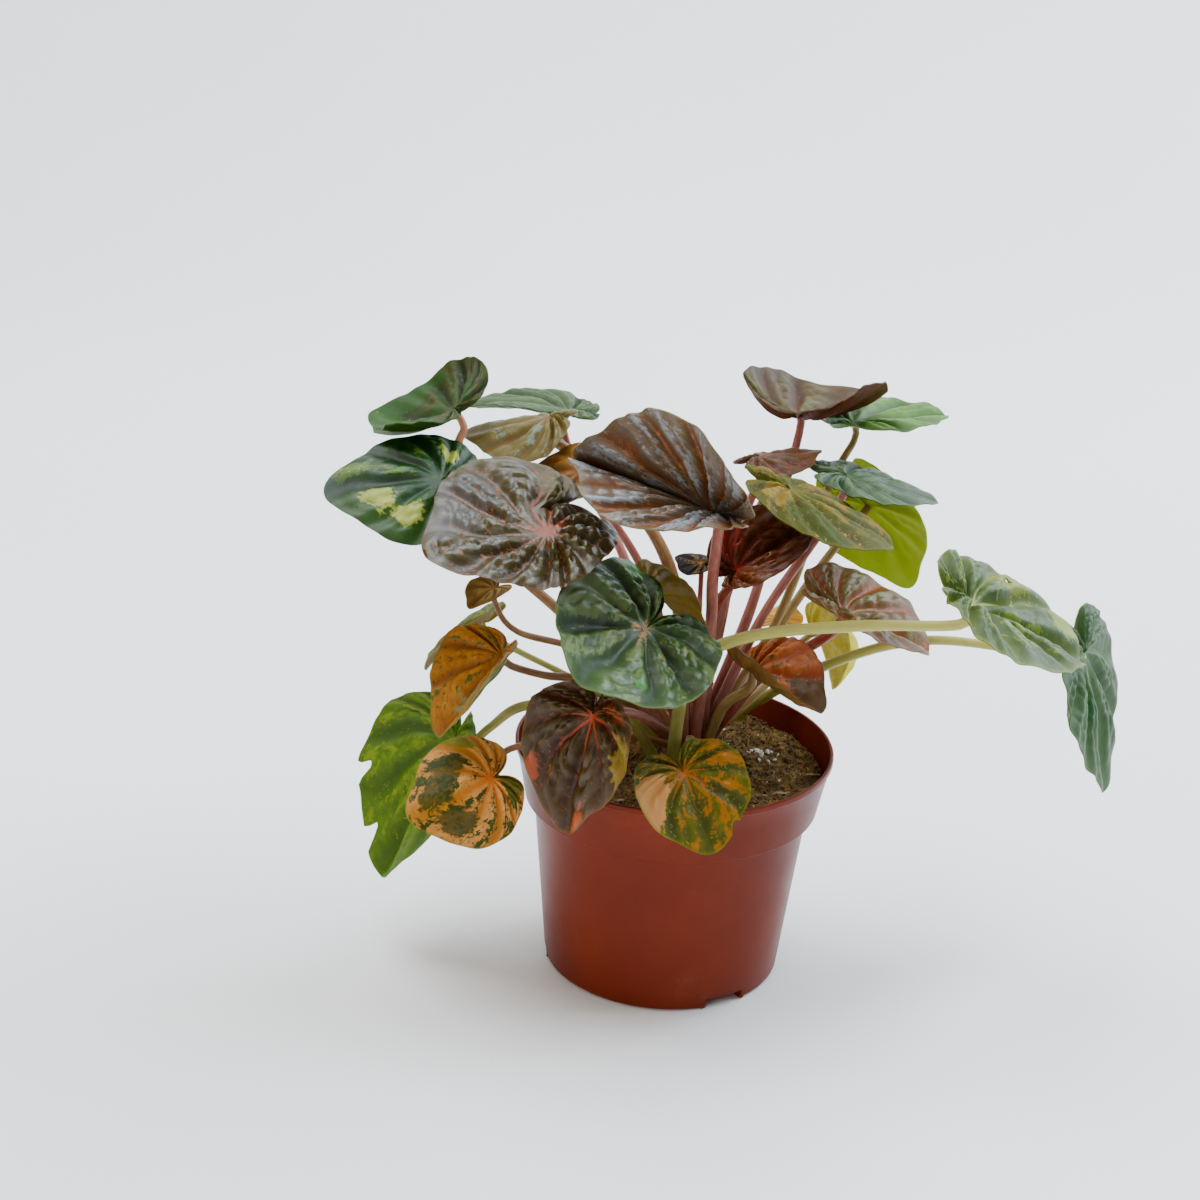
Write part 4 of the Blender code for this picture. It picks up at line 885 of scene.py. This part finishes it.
def leaf_numbers(leaf, look, share, angle, phase):
    """The fine height of the blade in millimetres, and its vein and ridge masks."""
    reach = leaf.length * share * heart_reach(leaf, angle)
    x, y = reach * np.cos(angle), reach * np.sin(angle)
    sway = 0.16 * wander(x, y, phase, SWAY_WAVE) * np.clip(share * 2, 0, 1)
    sector = leaf.veins * angle / math.tau + sway
    number = np.round(sector)
    across = np.abs(sector - number) * 2
    strength = 0.68 + 0.32 * np.sin(2.6 * number + phase)

    # The blade swells out from the stalk, flattens near the margin, and dips at each vein.
    rise = np.clip((share - 0.05) / 0.4, 0, 1)
    flatten = np.clip((share - 0.72) / 0.28, 0, 1)
    swell = rise * rise * (3 - 2 * rise) * (1 - 0.55 * flatten**2)
    valley = np.cos(math.pi / 2 * across) ** 2
    full = RIPPLE_SHARE * leaf.length * look.relief
    height = full * swell * (1 - (1 + strength) * valley**VALLEY_SHARPNESS)

    # A weaker valley forks off halfway to the next vein.
    forked = np.clip((share - 0.3) / 0.3, 0, 1)
    forked = forked * (0.75 + 0.25 * np.sin(3.7 * np.floor(sector) + phase))
    height = height - 0.9 * full * swell * forked * np.exp(-(((1 - across) / FORK_WIDTH) ** 2))

    # The cross veins quilt the ridges into puffs, and slow waves make them uneven.
    steps = leaf.length / QUILT_LENGTH
    along = share * steps + 0.37 * np.sin(2.4 * number + phase) - 0.55 * across
    along = along + 0.28 * wander(x, y, phase + 1, SHIFT_WAVE)
    lines = np.cos(math.pi * along) ** 2
    depth = look.quilt * min(1.0, leaf.length / 40)
    depth = depth * (0.75 + 0.25 * wander(x, y, phase + 2, DEPTH_WAVE))
    narrow = lines**4
    puffed = swell * across * (1 - 0.4 * flatten)
    height = height - depth * puffed * (0.75 * narrow + 0.45 * lines - 0.35)
    height = height + 0.35 * look.relief * wander(x, y, phase + 3, HEIGHT_WAVE) * rise
    dents = 0.22 * look.quilt * wander(x, y, phase + 4, DENT_WAVE)
    height = height + dents * rise * (1 - 0.5 * flatten)

    # The main veins are fine lines at the bottom of their valleys.
    off = across / 2 * math.tau / leaf.veins * np.maximum(reach, 0.5)
    width = VEIN_HALF_WIDTH * (1.3 - 0.9 * share) * (0.7 + 0.3 * strength)
    main = np.exp(-((off / width) ** 2))
    height = height - 0.25 * swell * main
    ridge = np.clip(0.5 + 0.5 * height / (full + 0.6 * depth), 0, 1)
    shown = main * np.clip(1.25 - 1.3 * share - 0.25 * (1 - strength), 0, 1)
    vein = np.maximum(shown, 0.45 * narrow * swell * (0.35 + 0.65 * across) * (1 - 0.6 * share))
    return height, vein, ridge


def zone_numbers(zone, share, angle):
    """How far inside a zone each point of the blade is, 0 to 1 over a soft edge."""
    if zone.heading is None:
        return np.clip((1 - share - zone.share) / 0.3 + 0.5, 0, 1)
    turn = angle - math.radians(zone.heading)
    along, aside = share * np.cos(turn) - zone.share, share * np.sin(turn)
    if zone.size is None:
        return np.clip(along / 0.5 + 0.5, 0, 1)
    return np.clip((zone.size - np.hypot(along, aside)) / 0.25 + 0.5, 0, 1)


def kept_cells(leaf, rings, turns):
    """Which cells of the blade are there, by ring and sector: one leaf has a small hole."""
    share = (np.arange(rings)[:, None] + 0.5) / rings
    kept = np.ones((rings, len(turns)), bool)
    for name, at, where, size in HOLES:
        if name == leaf.name:
            aside = (turns - math.radians(at)) * share * leaf.length
            kept &= np.hypot((share - where) * leaf.length, aside) > size
    return kept


def sheet_faces(kept):
    """The faces of one sheet of the blade, and the edges where it ends, wound around them."""
    rings, sectors = kept.shape

    def at(ring, k):
        return 0 if ring == 0 else 1 + (ring - 1) * sectors + k % sectors

    faces = []
    edges = []
    for ring, k in np.argwhere(kept):
        inner, inner_next = at(ring, k), at(ring, k + 1)
        outer, outer_next = at(ring + 1, k), at(ring + 1, k + 1)
        faces.append((inner, outer, outer_next, inner_next) if ring else (0, outer, outer_next))
        if ring == rings - 1 or not kept[ring + 1][k]:
            edges.append((outer, outer_next))
        if ring and not kept[ring - 1][k]:
            edges.append((inner_next, inner))
        if not kept[ring][(k + 1) % sectors]:
            edges.append((outer_next, inner_next))
        if not kept[ring][(k - 1) % sectors]:
            edges.append((inner, outer))
    return faces, edges


def sectors_a_vein(leaf):
    """How many cells lie side by side from one vein to the next."""
    if leaf.length < SMALL_LEAF:
        return SMALL_SECTORS
    return LARGE_SECTORS if leaf.length > LARGE_LEAF else SECTORS


def build_leaf(leaf, number):
    """The blade as an upper and a lower sheet with a wall around the margin."""
    look = LOOKS[leaf.name]
    phase = 1.7 * number
    sectors = leaf.veins * sectors_a_vein(leaf)
    rings = max(12, round(leaf.length * 0.95 / LEAF_CELL))
    turns = np.arange(sectors) * 2 * math.pi / sectors - math.pi
    angle = np.concatenate([[0.0], np.tile(turns, rings)])
    share = np.concatenate([[0.0], np.repeat(np.arange(1, rings + 1) / rings, sectors)])
    trimmed = share * edge_scale(leaf, angle, phase) ** np.clip(share * 1.5, 0, 1)
    seen_share, seen_angle = around_hub(leaf, share, angle)
    height, vein, ridge = leaf_numbers(leaf, look, seen_share, seen_angle, phase)
    height = height * np.clip(share / 0.2, 0, 1)
    middle = blade_surface(leaf, trimmed, angle, height)
    middle[0] = 0
    normals = blade_normals(leaf, share, angle)
    normals[0] = (0, 0, 1)
    half = (BLADE_THICKNESS - (BLADE_THICKNESS - EDGE_THICKNESS) * share**3)[:, None] / 2
    sheets = np.concatenate([middle + half * normals, middle - half * normals])
    points = sheets @ leaf_axes(leaf).T + np.array(leaf.at)

    count = len(share)
    upper, edges = sheet_faces(kept_cells(leaf, rings, turns))
    lower = [tuple(count + v for v in reversed(face)) for face in upper]
    walls = [(b, a, a + count, b + count) for a, b in edges]

    # Where the material looks up its noise: in centimetres over the blade, and along its veins.
    along = leaf.length * trimmed * np.cos(angle) / 10
    aside = leaf.width * 0.6 * trimmed * np.sin(angle) / 10
    flat = np.stack([along, aside, np.full(count, 3.1 * number)], axis=-1)
    fan = np.stack([2.2 * np.cos(angle), 2.2 * np.sin(angle), 1.3 * share + 5.3 * number], axis=-1)
    fan[0] = fan[1]
    masks = {"vein": vein, "ridge": ridge, "rim": np.clip((share - 0.965) / 0.035, 0, 1)}
    masks["hub"] = np.clip(1 - seen_share * leaf.length / HUB_RADIUS, 0, 1) ** 1.5
    for place, zone in enumerate(look.zones):
        masks[f"zone_{place}"] = zone_numbers(zone, share, angle)
    floats = {key: np.tile(values, 2) for key, values in masks.items()}
    floats["under"] = np.repeat([0.0, 1.0], count)
    vectors = {"flat": np.tile(flat, (2, 1)), "fan": np.tile(fan, (2, 1))}
    faces = upper + lower + walls
    material = leaf_material(leaf, look)
    piece = add_mesh("fine_" + leaf.name, points, faces, material, 70, floats, vectors)
    dress(piece, slot_of(leaf.name), leaf.name)


# Stalks.


def stalk_line(stalk, low):
    """The centre line of a stalk from its foot to inside the blade's underside."""
    leaf = LEAF[stalk.leaf]
    below = -leaf_axes(leaf)[:, 2]
    top = np.array(leaf.at) + below * 0.15
    bend = np.array(leaf.at) + below * (4 * stalk.top_radius + 1)
    return smooth_route([*low, *stalk.through, bend, top], STALK_STEP)


def tube_faces(rows, sides):
    """The faces of a closed tube of rings of points, with a cap at each end."""
    faces = [tuple(reversed(range(sides)))]
    for start in range(0, (rows - 1) * sides, sides):
        for k in range(sides):
            here, after = start + k, start + (k + 1) % sides
            faces.append((here, after, after + sides, here + sides))
    faces.append(tuple(range((rows - 1) * sides, rows * sides)))
    return faces


def build_stalk(name, stalk, low, skin, node):
    """A slightly oval tube along the stalk's line, of a radius that tapers and wavers."""
    route = stalk_line(stalk, low)
    count = len(route)
    share = np.linspace(0, 1, count)
    radii = stalk.foot_radius + (stalk.top_radius - stalk.foot_radius) * share
    radii = radii * (1 + 0.03 * np.sin(share * 23 + count))
    tangents = np.gradient(route, axis=0)
    tangents /= np.linalg.norm(tangents, axis=1, keepdims=True)
    side = np.cross(tangents[0], (0.0, 1.0, 0.2))
    turns = np.arange(STALK_SIDES) * 2 * math.pi / STALK_SIDES
    points, along, skin_place = [], [], []
    lengths = np.concatenate([[0], np.cumsum(np.linalg.norm(np.diff(route, axis=0), axis=1))])
    for row in range(count):
        side = side - tangents[row] * np.dot(side, tangents[row])
        side /= np.linalg.norm(side)
        other = np.cross(tangents[row], side)
        oval = radii[row] * (1 + 0.05 * np.cos(2 * turns + 0.4))
        ring = np.outer(oval * np.cos(turns), side) + np.outer(oval * np.sin(turns), other)
        points.append(route[row] + ring)
        along.extend([share[row]] * STALK_SIDES)
        skin_place.extend((math.cos(t), math.sin(t), lengths[row] / 14 + count) for t in turns)
    points = np.concatenate(points)
    faces = tube_faces(count, STALK_SIDES)
    numbers = ({"along": along}, {"skin": skin_place})
    piece = add_mesh(name, points, faces, stalk_material(name, skin), 60, *numbers)
    dress(piece, slot_of(node), node)


def build_stalks():
    """The rosy stalks from inside the crown, and the pale ones from inside the soil."""
    for stalk in ROSY_STALKS:
        low = [(*stalk.root, CROWN_TOP - 8), (*stalk.root, CROWN_TOP - 4)]
        skin = SKINS.get(stalk.leaf, ROSE)
        build_stalk("stalk_to_" + stalk.leaf, stalk, low, skin, "crown_with_rosy_stalks")
    for stalk in PALE_STALKS:
        node = stalk.leaf.replace("leaf_", "stalk_")
        low = [(*stalk.root, SOIL_TOP + rise) for rise in (-STALK_ROOT_DEPTH, -2, 5)]
        build_stalk("fine_" + node, stalk, low, PALE, node)


def build_crown():
    """The knobbly short stem between the stalks."""
    profile = [(0, CROWN_TOP - 1)]
    for step in range(1, CROWN_STEPS + 1):
        turn = step / CROWN_STEPS * math.pi / 2
        profile.append((CROWN_RADIUS * 0.97 * math.sin(turn), CROWN_TOP - 9 + 8 * math.cos(turn)))
    profile += [(CROWN_RADIUS * 0.85, CROWN_FOOT + 1), (0, CROWN_FOOT + 1)]
    points, faces = turned(profile, CROWN_SIDES)
    points = np.array(points)
    rng = np.random.default_rng(11)
    x, y, z = points.T
    lumps = 0.35 * np.sin(x * 1.3 + z) + 0.3 * np.sin(y * 1.7 - z)
    points[:, 2] += np.minimum(0, lumps) + rng.uniform(-0.05, 0.0, len(points))
    points[:, :2] += CROWN_AT
    material = plain_material("crown_skin", (0.10, 0.035, 0.022), (0.22, 0.09, 0.05), 220.0, 0.6, 0.6)
    piece = add_mesh("crown", points, faces, material)
    dress(piece, slot_of("crown_with_rosy_stalks"), "crown_with_rosy_stalks")


# The pot.


def bar(name, inner, outer, half_width, bottom, top, heading):
    """A block that runs outwards in this direction, to build or cut the channels."""
    out = Vector((math.cos(math.radians(heading)), math.sin(math.radians(heading)), 0))
    side = Vector((-out.y, out.x, 0))
    points = []
    for height in (bottom, top):
        for reach, across in ((inner, -1), (outer, -1), (outer, 1), (inner, 1)):
            points.append(tuple(out * reach + side * half_width * across + Vector((0, 0, height))))
    faces = [(3, 2, 1, 0), (4, 5, 6, 7), (0, 1, 5, 4), (1, 2, 6, 5), (2, 3, 7, 6), (3, 0, 4, 7)]
    return tool(name, points, faces)


def tool(name, points, faces):
    """A bare mesh object of points in millimetres."""
    mesh = bpy.data.meshes.new(name)
    mesh.from_pydata((np.asarray(points, float) * MM).tolist(), [], faces)
    obj = bpy.data.objects.new(name, mesh)
    bpy.context.scene.collection.objects.link(obj)
    return obj


def combine(target, others, operation):
    """Joins or cuts the target with the other objects, which are then removed."""
    group = bpy.data.collections.new("tools")
    bpy.context.scene.collection.children.link(group)
    for obj in others:
        bpy.context.scene.collection.objects.unlink(obj)
        group.objects.link(obj)
    modifier = target.modifiers.new("tools", "BOOLEAN")
    modifier.operation = operation
    modifier.operand_type = "COLLECTION"
    modifier.collection = group
    modifier.solver = "EXACT"
    bpy.context.view_layer.update()
    evaluated = target.evaluated_get(bpy.context.evaluated_depsgraph_get())
    result = bpy.data.meshes.new_from_object(evaluated)
    target.modifiers.clear()
    target.data = result
    for obj in list(group.objects):
        bpy.data.objects.remove(obj, do_unlink=True)
    bpy.data.collections.remove(group)


def arc(centre, radius, start, end, steps):
    """Points on a quarter round of the profile, from one angle to another."""
    turns = [math.radians(start + (end - start) * k / steps) for k in range(steps + 1)]
    return [(centre[0] + radius * math.cos(t), centre[1] + radius * math.sin(t)) for t in turns]


def build_pot():
    """The turned pot with its rounded lip and band, less the channels and drain holes."""
    shelf = BAND_BOTTOM_HEIGHT + WALL
    profile = [
        (RIM_RADIUS - WALL, POT_HEIGHT - 0.35),
        *arc((RIM_RADIUS - WALL + 0.35, POT_HEIGHT - 0.35), 0.35, 180, 90, 4)[1:],
        *arc((RIM_RADIUS - 0.5, POT_HEIGHT - 0.5), 0.5, 90, 0, 5),
        *arc((RIM_RADIUS - 0.4, POT_HEIGHT - 2.0), 0.4, 0, -70, 3),
        (RIM_RADIUS - LIP, POT_HEIGHT - 2.9),
        (band_radius(80) - 0.25, 80.0),
        (BAND_BOTTOM_RADIUS + 0.05, BAND_BOTTOM_HEIGHT + 1.0),
        *arc((BAND_BOTTOM_RADIUS - 0.6, BAND_BOTTOM_HEIGHT + 0.6), 0.6, 0, -90, 5),
        (WALL_TOP_RADIUS + 0.5, BAND_BOTTOM_HEIGHT),
        *arc((WALL_TOP_RADIUS + 0.45, BAND_BOTTOM_HEIGHT - 0.45), 0.45, 90, 180, 3),
        (outer_radius(40), 40.0),
        (outer_radius(12), 12.0),
        (outer_radius(3.2), 3.2),
        *arc((outer_radius(2.0) - 2.0, 2.0), 2.0, 0, -90, 6),
        (0, 0),
        (0, FLOOR),
        (BASE_RADIUS - WALL - 1.0, FLOOR),
        (outer_radius(FLOOR + 1.0) - WALL, FLOOR + 1.0),
        (WALL_TOP_RADIUS - WALL, shelf),
        (BAND_BOTTOM_RADIUS - WALL, shelf),
    ]
    points, faces = turned(profile, POT_SIDES)
    pot = tool("nursery_pot", points, faces)
    roof = CHANNEL_HEIGHT + WALL
    half = CHANNEL_WIDTH / 2
    inner, outer = CHANNEL_START - WALL, BASE_RADIUS - WALL / 2
    bars = [bar("roof", inner, outer, half + WALL, 0.4, roof, turn) for turn in channel_headings()]
    combine(pot, bars, "UNION")
    drain, drain_faces = turned(
        [(0, 2 * roof), (DRAIN_RADIUS, 2 * roof), (DRAIN_RADIUS, 1), (0, 1)], DRAIN_SIDES
    )
    cutters = []
    for heading in channel_headings():
        cutters.append(bar("channel", CHANNEL_START, RIM_RADIUS, half, -1, CHANNEL_HEIGHT, heading))
        turn = math.radians(heading)
        place = np.array((DRAIN_DISTANCE * math.cos(turn), DRAIN_DISTANCE * math.sin(turn), 0))
        cutters.append(tool("drain", np.array(drain) + place, drain_faces))
    combine(pot, cutters, "DIFFERENCE")
    pot.data.materials.clear()
    pot.data.materials.append(pot_material())
    pot.data.shade_smooth()
    pot.data.set_sharp_from_angle(angle=math.radians(32))
    dress(pot, slot_of("pot"), "pot")


# The soil.


def lump(rng, size):
    """An irregular crumb: a squashed icosahedron."""
    points = [(0, 0, 1)]
    for height, start in ((0.447, 0), (-0.447, 1)):
        turns = [math.pi / 5 * (2 * k + start) for k in range(5)]
        points += [(0.894 * math.cos(turn), 0.894 * math.sin(turn), height) for turn in turns]
    points = np.array(points + [(0, 0, -1)])
    points = points * rng.uniform(0.65, 1.2, (12, 1)) * rng.uniform(0.6, 1.15, 3)
    faces = []
    for k in range(5):
        after = (k + 1) % 5
        faces += [(0, 1 + k, 1 + after), (1 + k, 6 + k, 1 + after)]
        faces += [(1 + after, 6 + k, 6 + after), (11, 6 + after, 6 + k)]
    return points @ spin(rng.uniform(0, 2 * math.pi)).T * size, faces


def gather(pieces):
    """Several small solids as one list of points and faces."""
    points, faces = [], []
    start = 0
    for piece_points, piece_faces in pieces:
        points.append(piece_points)
        faces.extend(tuple(v + start for v in face) for face in piece_faces)
        start += len(piece_points)
    return np.concatenate(points), faces


def soil_radius():
    """The soil's radius at its surface, clear of the pot's wall."""
    return band_radius(SOIL_TOP - 4) - WALL - GAP


def on_soil(rng, reach):
    """A random place on the soil's surface, away from the crown."""
    while True:
        radius = reach * math.sqrt(rng.uniform())
        turn = rng.uniform(0, 2 * math.pi)
        x, y = radius * math.cos(turn), radius * math.sin(turn)
        if math.hypot(x - CROWN_AT[0], y - CROWN_AT[1]) > CROWN_RADIUS + 1:
            return np.array([x, y, fine_soil(x, y)])


def fine_soil(x, y):
    """The soil's height with its small lumps."""
    small = np.sin(0.9 * x + 0.6 * np.sin(0.5 * y)) * np.sin(0.83 * y + 1.1)
    tiny = np.sin(2.1 * x + 1.7 * np.sin(1.3 * y)) * np.sin(1.9 * y + 0.9 * np.sin(1.1 * x))
    return soil_height(x, y) + 0.45 * small + 0.3 * tiny


def thread(rng, start, length, radius, rise):
    """A bent fibre that lies on the soil."""
    heading = rng.uniform(0, 2 * math.pi)
    points = [start]
    for _ in range(FIBRE_STEPS):
        heading += rng.normal(0, 0.35)
        ahead = np.array([math.cos(heading), math.sin(heading), 0])
        point = points[-1] + ahead * length / FIBRE_STEPS
        if math.hypot(point[0], point[1]) > soil_radius() - 1:
            break
        point[2] = fine_soil(point[0], point[1]) + radius + rise * rng.uniform()
        points.append(point)
    if len(points) < 3:
        return None
    points = np.array(points)
    tangents = np.gradient(points, axis=0)
    tangents /= np.linalg.norm(tangents, axis=1, keepdims=True)
    rows = []
    for point, tangent in zip(points, tangents):
        side = np.cross(tangent, (0, 0, 1.0))
        side /= np.linalg.norm(side)
        other = np.cross(side, tangent)
        for k in range(FIBRE_SIDES):
            turn = math.pi / 4 + k * math.pi / 2
            rows.append(point + radius * (math.cos(turn) * side + math.sin(turn) * other))
    return np.array(rows), tube_faces(len(points), FIBRE_SIDES)


def add_soil_piece(name, solids, tints, scale, roughness, depth, smooth_angle=30):
    """Many small solids as one piece that lies on the soil."""
    points, faces = gather(solids)
    material = plain_material(name, *tints, scale, roughness, depth)
    dress(add_mesh(name, points, faces, material, smooth_angle), slot_of("soil"), "soil")


def laid(solid, place, rise):
    """The solid at a place on the soil, and a little above it."""
    points, faces = solid
    return points + (place + (0, 0, rise)), faces


def build_peat(rng, radius):
    """The body of the soil, fine and rough on top."""
    turns = 2 * math.pi * np.arange(SOIL_SIDES) / SOIL_SIDES
    points = [(0.0, 0.0, fine_soil(0.0, 0.0))]
    for ring in range(1, SOIL_RINGS + 1):
        reach = radius * ring / SOIL_RINGS
        x, y = reach * np.cos(turns), reach * np.sin(turns)
        drop = 1.5 * max(0.0, (ring / SOIL_RINGS - 0.96) / 0.04)
        height = fine_soil(x, y) - drop + rng.normal(0, 0.22, SOIL_SIDES)
        points.extend(zip(x, y, height))
    shelf = BAND_BOTTOM_HEIGHT + WALL + GAP
    for reach, height in (
        (BAND_BOTTOM_RADIUS - WALL - GAP, shelf),
        (WALL_TOP_RADIUS - WALL - GAP, shelf),
        (BASE_RADIUS - WALL - 1.0, SOIL_FOOT),
    ):
        points.extend((reach * math.cos(t), reach * math.sin(t), height) for t in turns)
    points.append((0, 0, SOIL_FOOT))
    faces = [(0, 1 + k, 1 + (k + 1) % SOIL_SIDES) for k in range(SOIL_SIDES)]
    last = len(points) - 1 - SOIL_SIDES
    for inner in range(1, last, SOIL_SIDES):
        outer = inner + SOIL_SIDES
        for k in range(SOIL_SIDES):
            after = (k + 1) % SOIL_SIDES
            faces.append((inner + k, outer + k, outer + after, inner + after))
    end = len(points) - 1
    faces.extend((end, last + (k + 1) % SOIL_SIDES, last + k) for k in range(SOIL_SIDES))
    piece = add_mesh("peat_surface", points, faces, soil_material(), 80)
    dress(piece, slot_of("soil"), "soil")


def build_soil():
    """The peat with the crumbs, fibres, white grit and bark chips that lie on it."""
    rng = np.random.default_rng(5)
    radius = soil_radius()
    build_peat(rng, radius)

    crumbs = []
    for _ in range(CRUMBS):
        place = on_soil(rng, radius - 2)
        size = rng.choice(CRUMB_SIZES, p=CRUMB_SHARES)
        crumbs.append(laid(lump(rng, size), place, 0.15 * size))
    tints = ((0.06, 0.034, 0.006), (0.30, 0.165, 0.035))
    add_soil_piece("peat_crumbs", crumbs, tints, 400.0, 0.95, 0.5)

    fibres = []
    while len(fibres) < FIBRES:
        start = on_soil(rng, radius - 4)
        fibre = thread(rng, start, rng.uniform(3, 11), rng.uniform(0.09, 0.24), 0.8)
        if fibre:
            fibres.append(fibre)
    tints = ((0.09, 0.05, 0.018), (0.36, 0.23, 0.09))
    add_soil_piece("peat_fibres", fibres, tints, 120.0, 0.9, 0.3, 40)

    grit = []
    for _ in range(LOOSE_GRIT):
        place = on_soil(rng, radius - 4)
        grit.append(laid(lump(rng, rng.uniform(0.3, 0.75)), place, 0.2))
    for _ in range(HEAPED_GRIT):
        x, y = GRIT_AT[0] + rng.normal(0, 3.2), GRIT_AT[1] + rng.normal(0, 2.2)
        place = np.array([x, y, fine_soil(x, y)])
        grit.append(laid(lump(rng, rng.uniform(0.6, 1.35)), place, 0.3))
    tints = ((0.62, 0.58, 0.52), (0.85, 0.83, 0.8))
    add_soil_piece("white_grit", grit, tints, 600.0, 0.8, 0.4)

    chips = []
    for x, y, length, width, heading in CHIPS:
        points, faces = lump(rng, 1.0)
        points = points * (length / 2, width / 2, 0.45) @ spin(math.radians(heading)).T
        chips.append(laid((points, faces), np.array([x, y, fine_soil(x, y)]), 0.55))
    tints = ((0.22, 0.13, 0.06), (0.42, 0.30, 0.17))
    add_soil_piece("bark_chips", chips, tints, 180.0, 0.85, 0.4)


# The stage.


def build_stage():
    """A pale floor that sweeps up into a backdrop."""
    profile = [(STAGE_FRONT, 0), (STAGE_MIDDLE, 0), (STAGE_BACK, 0)]
    for step in range(1, SWEEP_STEPS + 1):
        turn = math.radians(90 * step / SWEEP_STEPS)
        back, up = SWEEP * math.sin(turn), SWEEP - SWEEP * math.cos(turn)
        profile.append((STAGE_BACK + back, up))
    profile.append((STAGE_BACK + SWEEP, BACKDROP_TOP))
    points, faces = [], []
    for y, z in profile:
        points += [(-STAGE_HALF_WIDTH, y, z), (STAGE_HALF_WIDTH, y, z)]
    for row in range(len(profile) - 1):
        a = 2 * row
        faces.append((a, a + 1, a + 3, a + 2))
    tree = Tree("paper_sweep", 0.7)
    tone = tree.noise(tree.place(), 1.6, 2.0, 0.5)
    colour = tree.mix(tree.step(tone, 0.3, 0.7), (0.86, 0.85, 0.84), (0.89, 0.885, 0.88))
    tree.surface({"Base Color": colour})
    floor = add_mesh("floor", points, faces, tree.material, 180)


def add_area(name, place, target, size, energy, colour):
    """A soft rectangular light that faces its target."""
    light = bpy.data.lights.new(name, "AREA")
    light.shape = "RECTANGLE"
    light.size, light.size_y = size
    light.energy = energy
    light.color = colour
    obj = bpy.data.objects.new(name, light)
    obj.location = Vector(place)
    obj.rotation_euler = (Vector(target) - Vector(place)).to_track_quat("-Z", "Y").to_euler()
    bpy.context.scene.collection.objects.link(obj)


def build_lights():
    """A big window to the right and behind, a softbox overhead, a weak fill from the left and
    two lights for the backdrop."""
    world = bpy.data.worlds.new("soft_room")
    world.use_nodes = True
    background = world.node_tree.nodes["Background"]
    background.inputs["Color"].default_value = (0.95, 0.97, 1.0, 1)
    background.inputs["Strength"].default_value = 0.26
    bpy.context.scene.world = world
    add_area("window", (1.6, 0.7, 1.4), (0, 0, 0.1), (1.7, 1.4), 78, (0.74, 0.87, 1.0))
    add_area("overhead", (-0.5, 0.25, 1.7), (0, 0, 0.1), (1.1, 1.1), 38, (0.84, 0.92, 1.0))
    add_area("front_fill", (-1.2, -1.6, 0.9), (0, 0, 0.12), (1.2, 1.2), 16, (1.0, 0.86, 0.70))
    add_area("backdrop_cool", (1.3, 0.1, 2.2), (0.6, 1.3, 0.6), (1.6, 0.8), 40, (0.84, 0.92, 1.0))
    add_area("backdrop_warm", (-1.4, 0.1, 2.0), (-0.7, 1.3, 0.6), (1.2, 0.8), 13, (1.0, 0.80, 0.58))


def build_camera():
    """The camera at the photograph's angle, rolled a little."""
    elevation, roll = math.radians(CAMERA_ELEVATION), math.radians(CAMERA_ROLL)
    forward = Vector((0, math.cos(elevation), -math.sin(elevation)))
    right = Vector((1, 0, 0))
    up = right.cross(forward)
    across = math.cos(roll) * right + math.sin(roll) * up
    upward = -math.sin(roll) * right + math.cos(roll) * up
    turn = Matrix((across, upward, -forward)).transposed()
    data = bpy.data.cameras.new("camera")
    data.sensor_width = SENSOR
    data.lens = FOCAL_SHARE * SENSOR
    data.clip_start = 0.05
    data.clip_end = 20
    camera = bpy.data.objects.new("camera", data)
    camera.matrix_world = Matrix.LocRotScale(
        (Vector(CAMERA_TARGET) - forward * CAMERA_DISTANCE) * MM, turn.to_quaternion(), None
    )
    bpy.context.scene.collection.objects.link(camera)
    bpy.context.scene.camera = camera


build_camera()
build_lights()
build_stage()
build_pot()
build_soil()
build_crown()
build_stalks()
for number, leaf in enumerate(LEAVES):
    build_leaf(leaf, number)
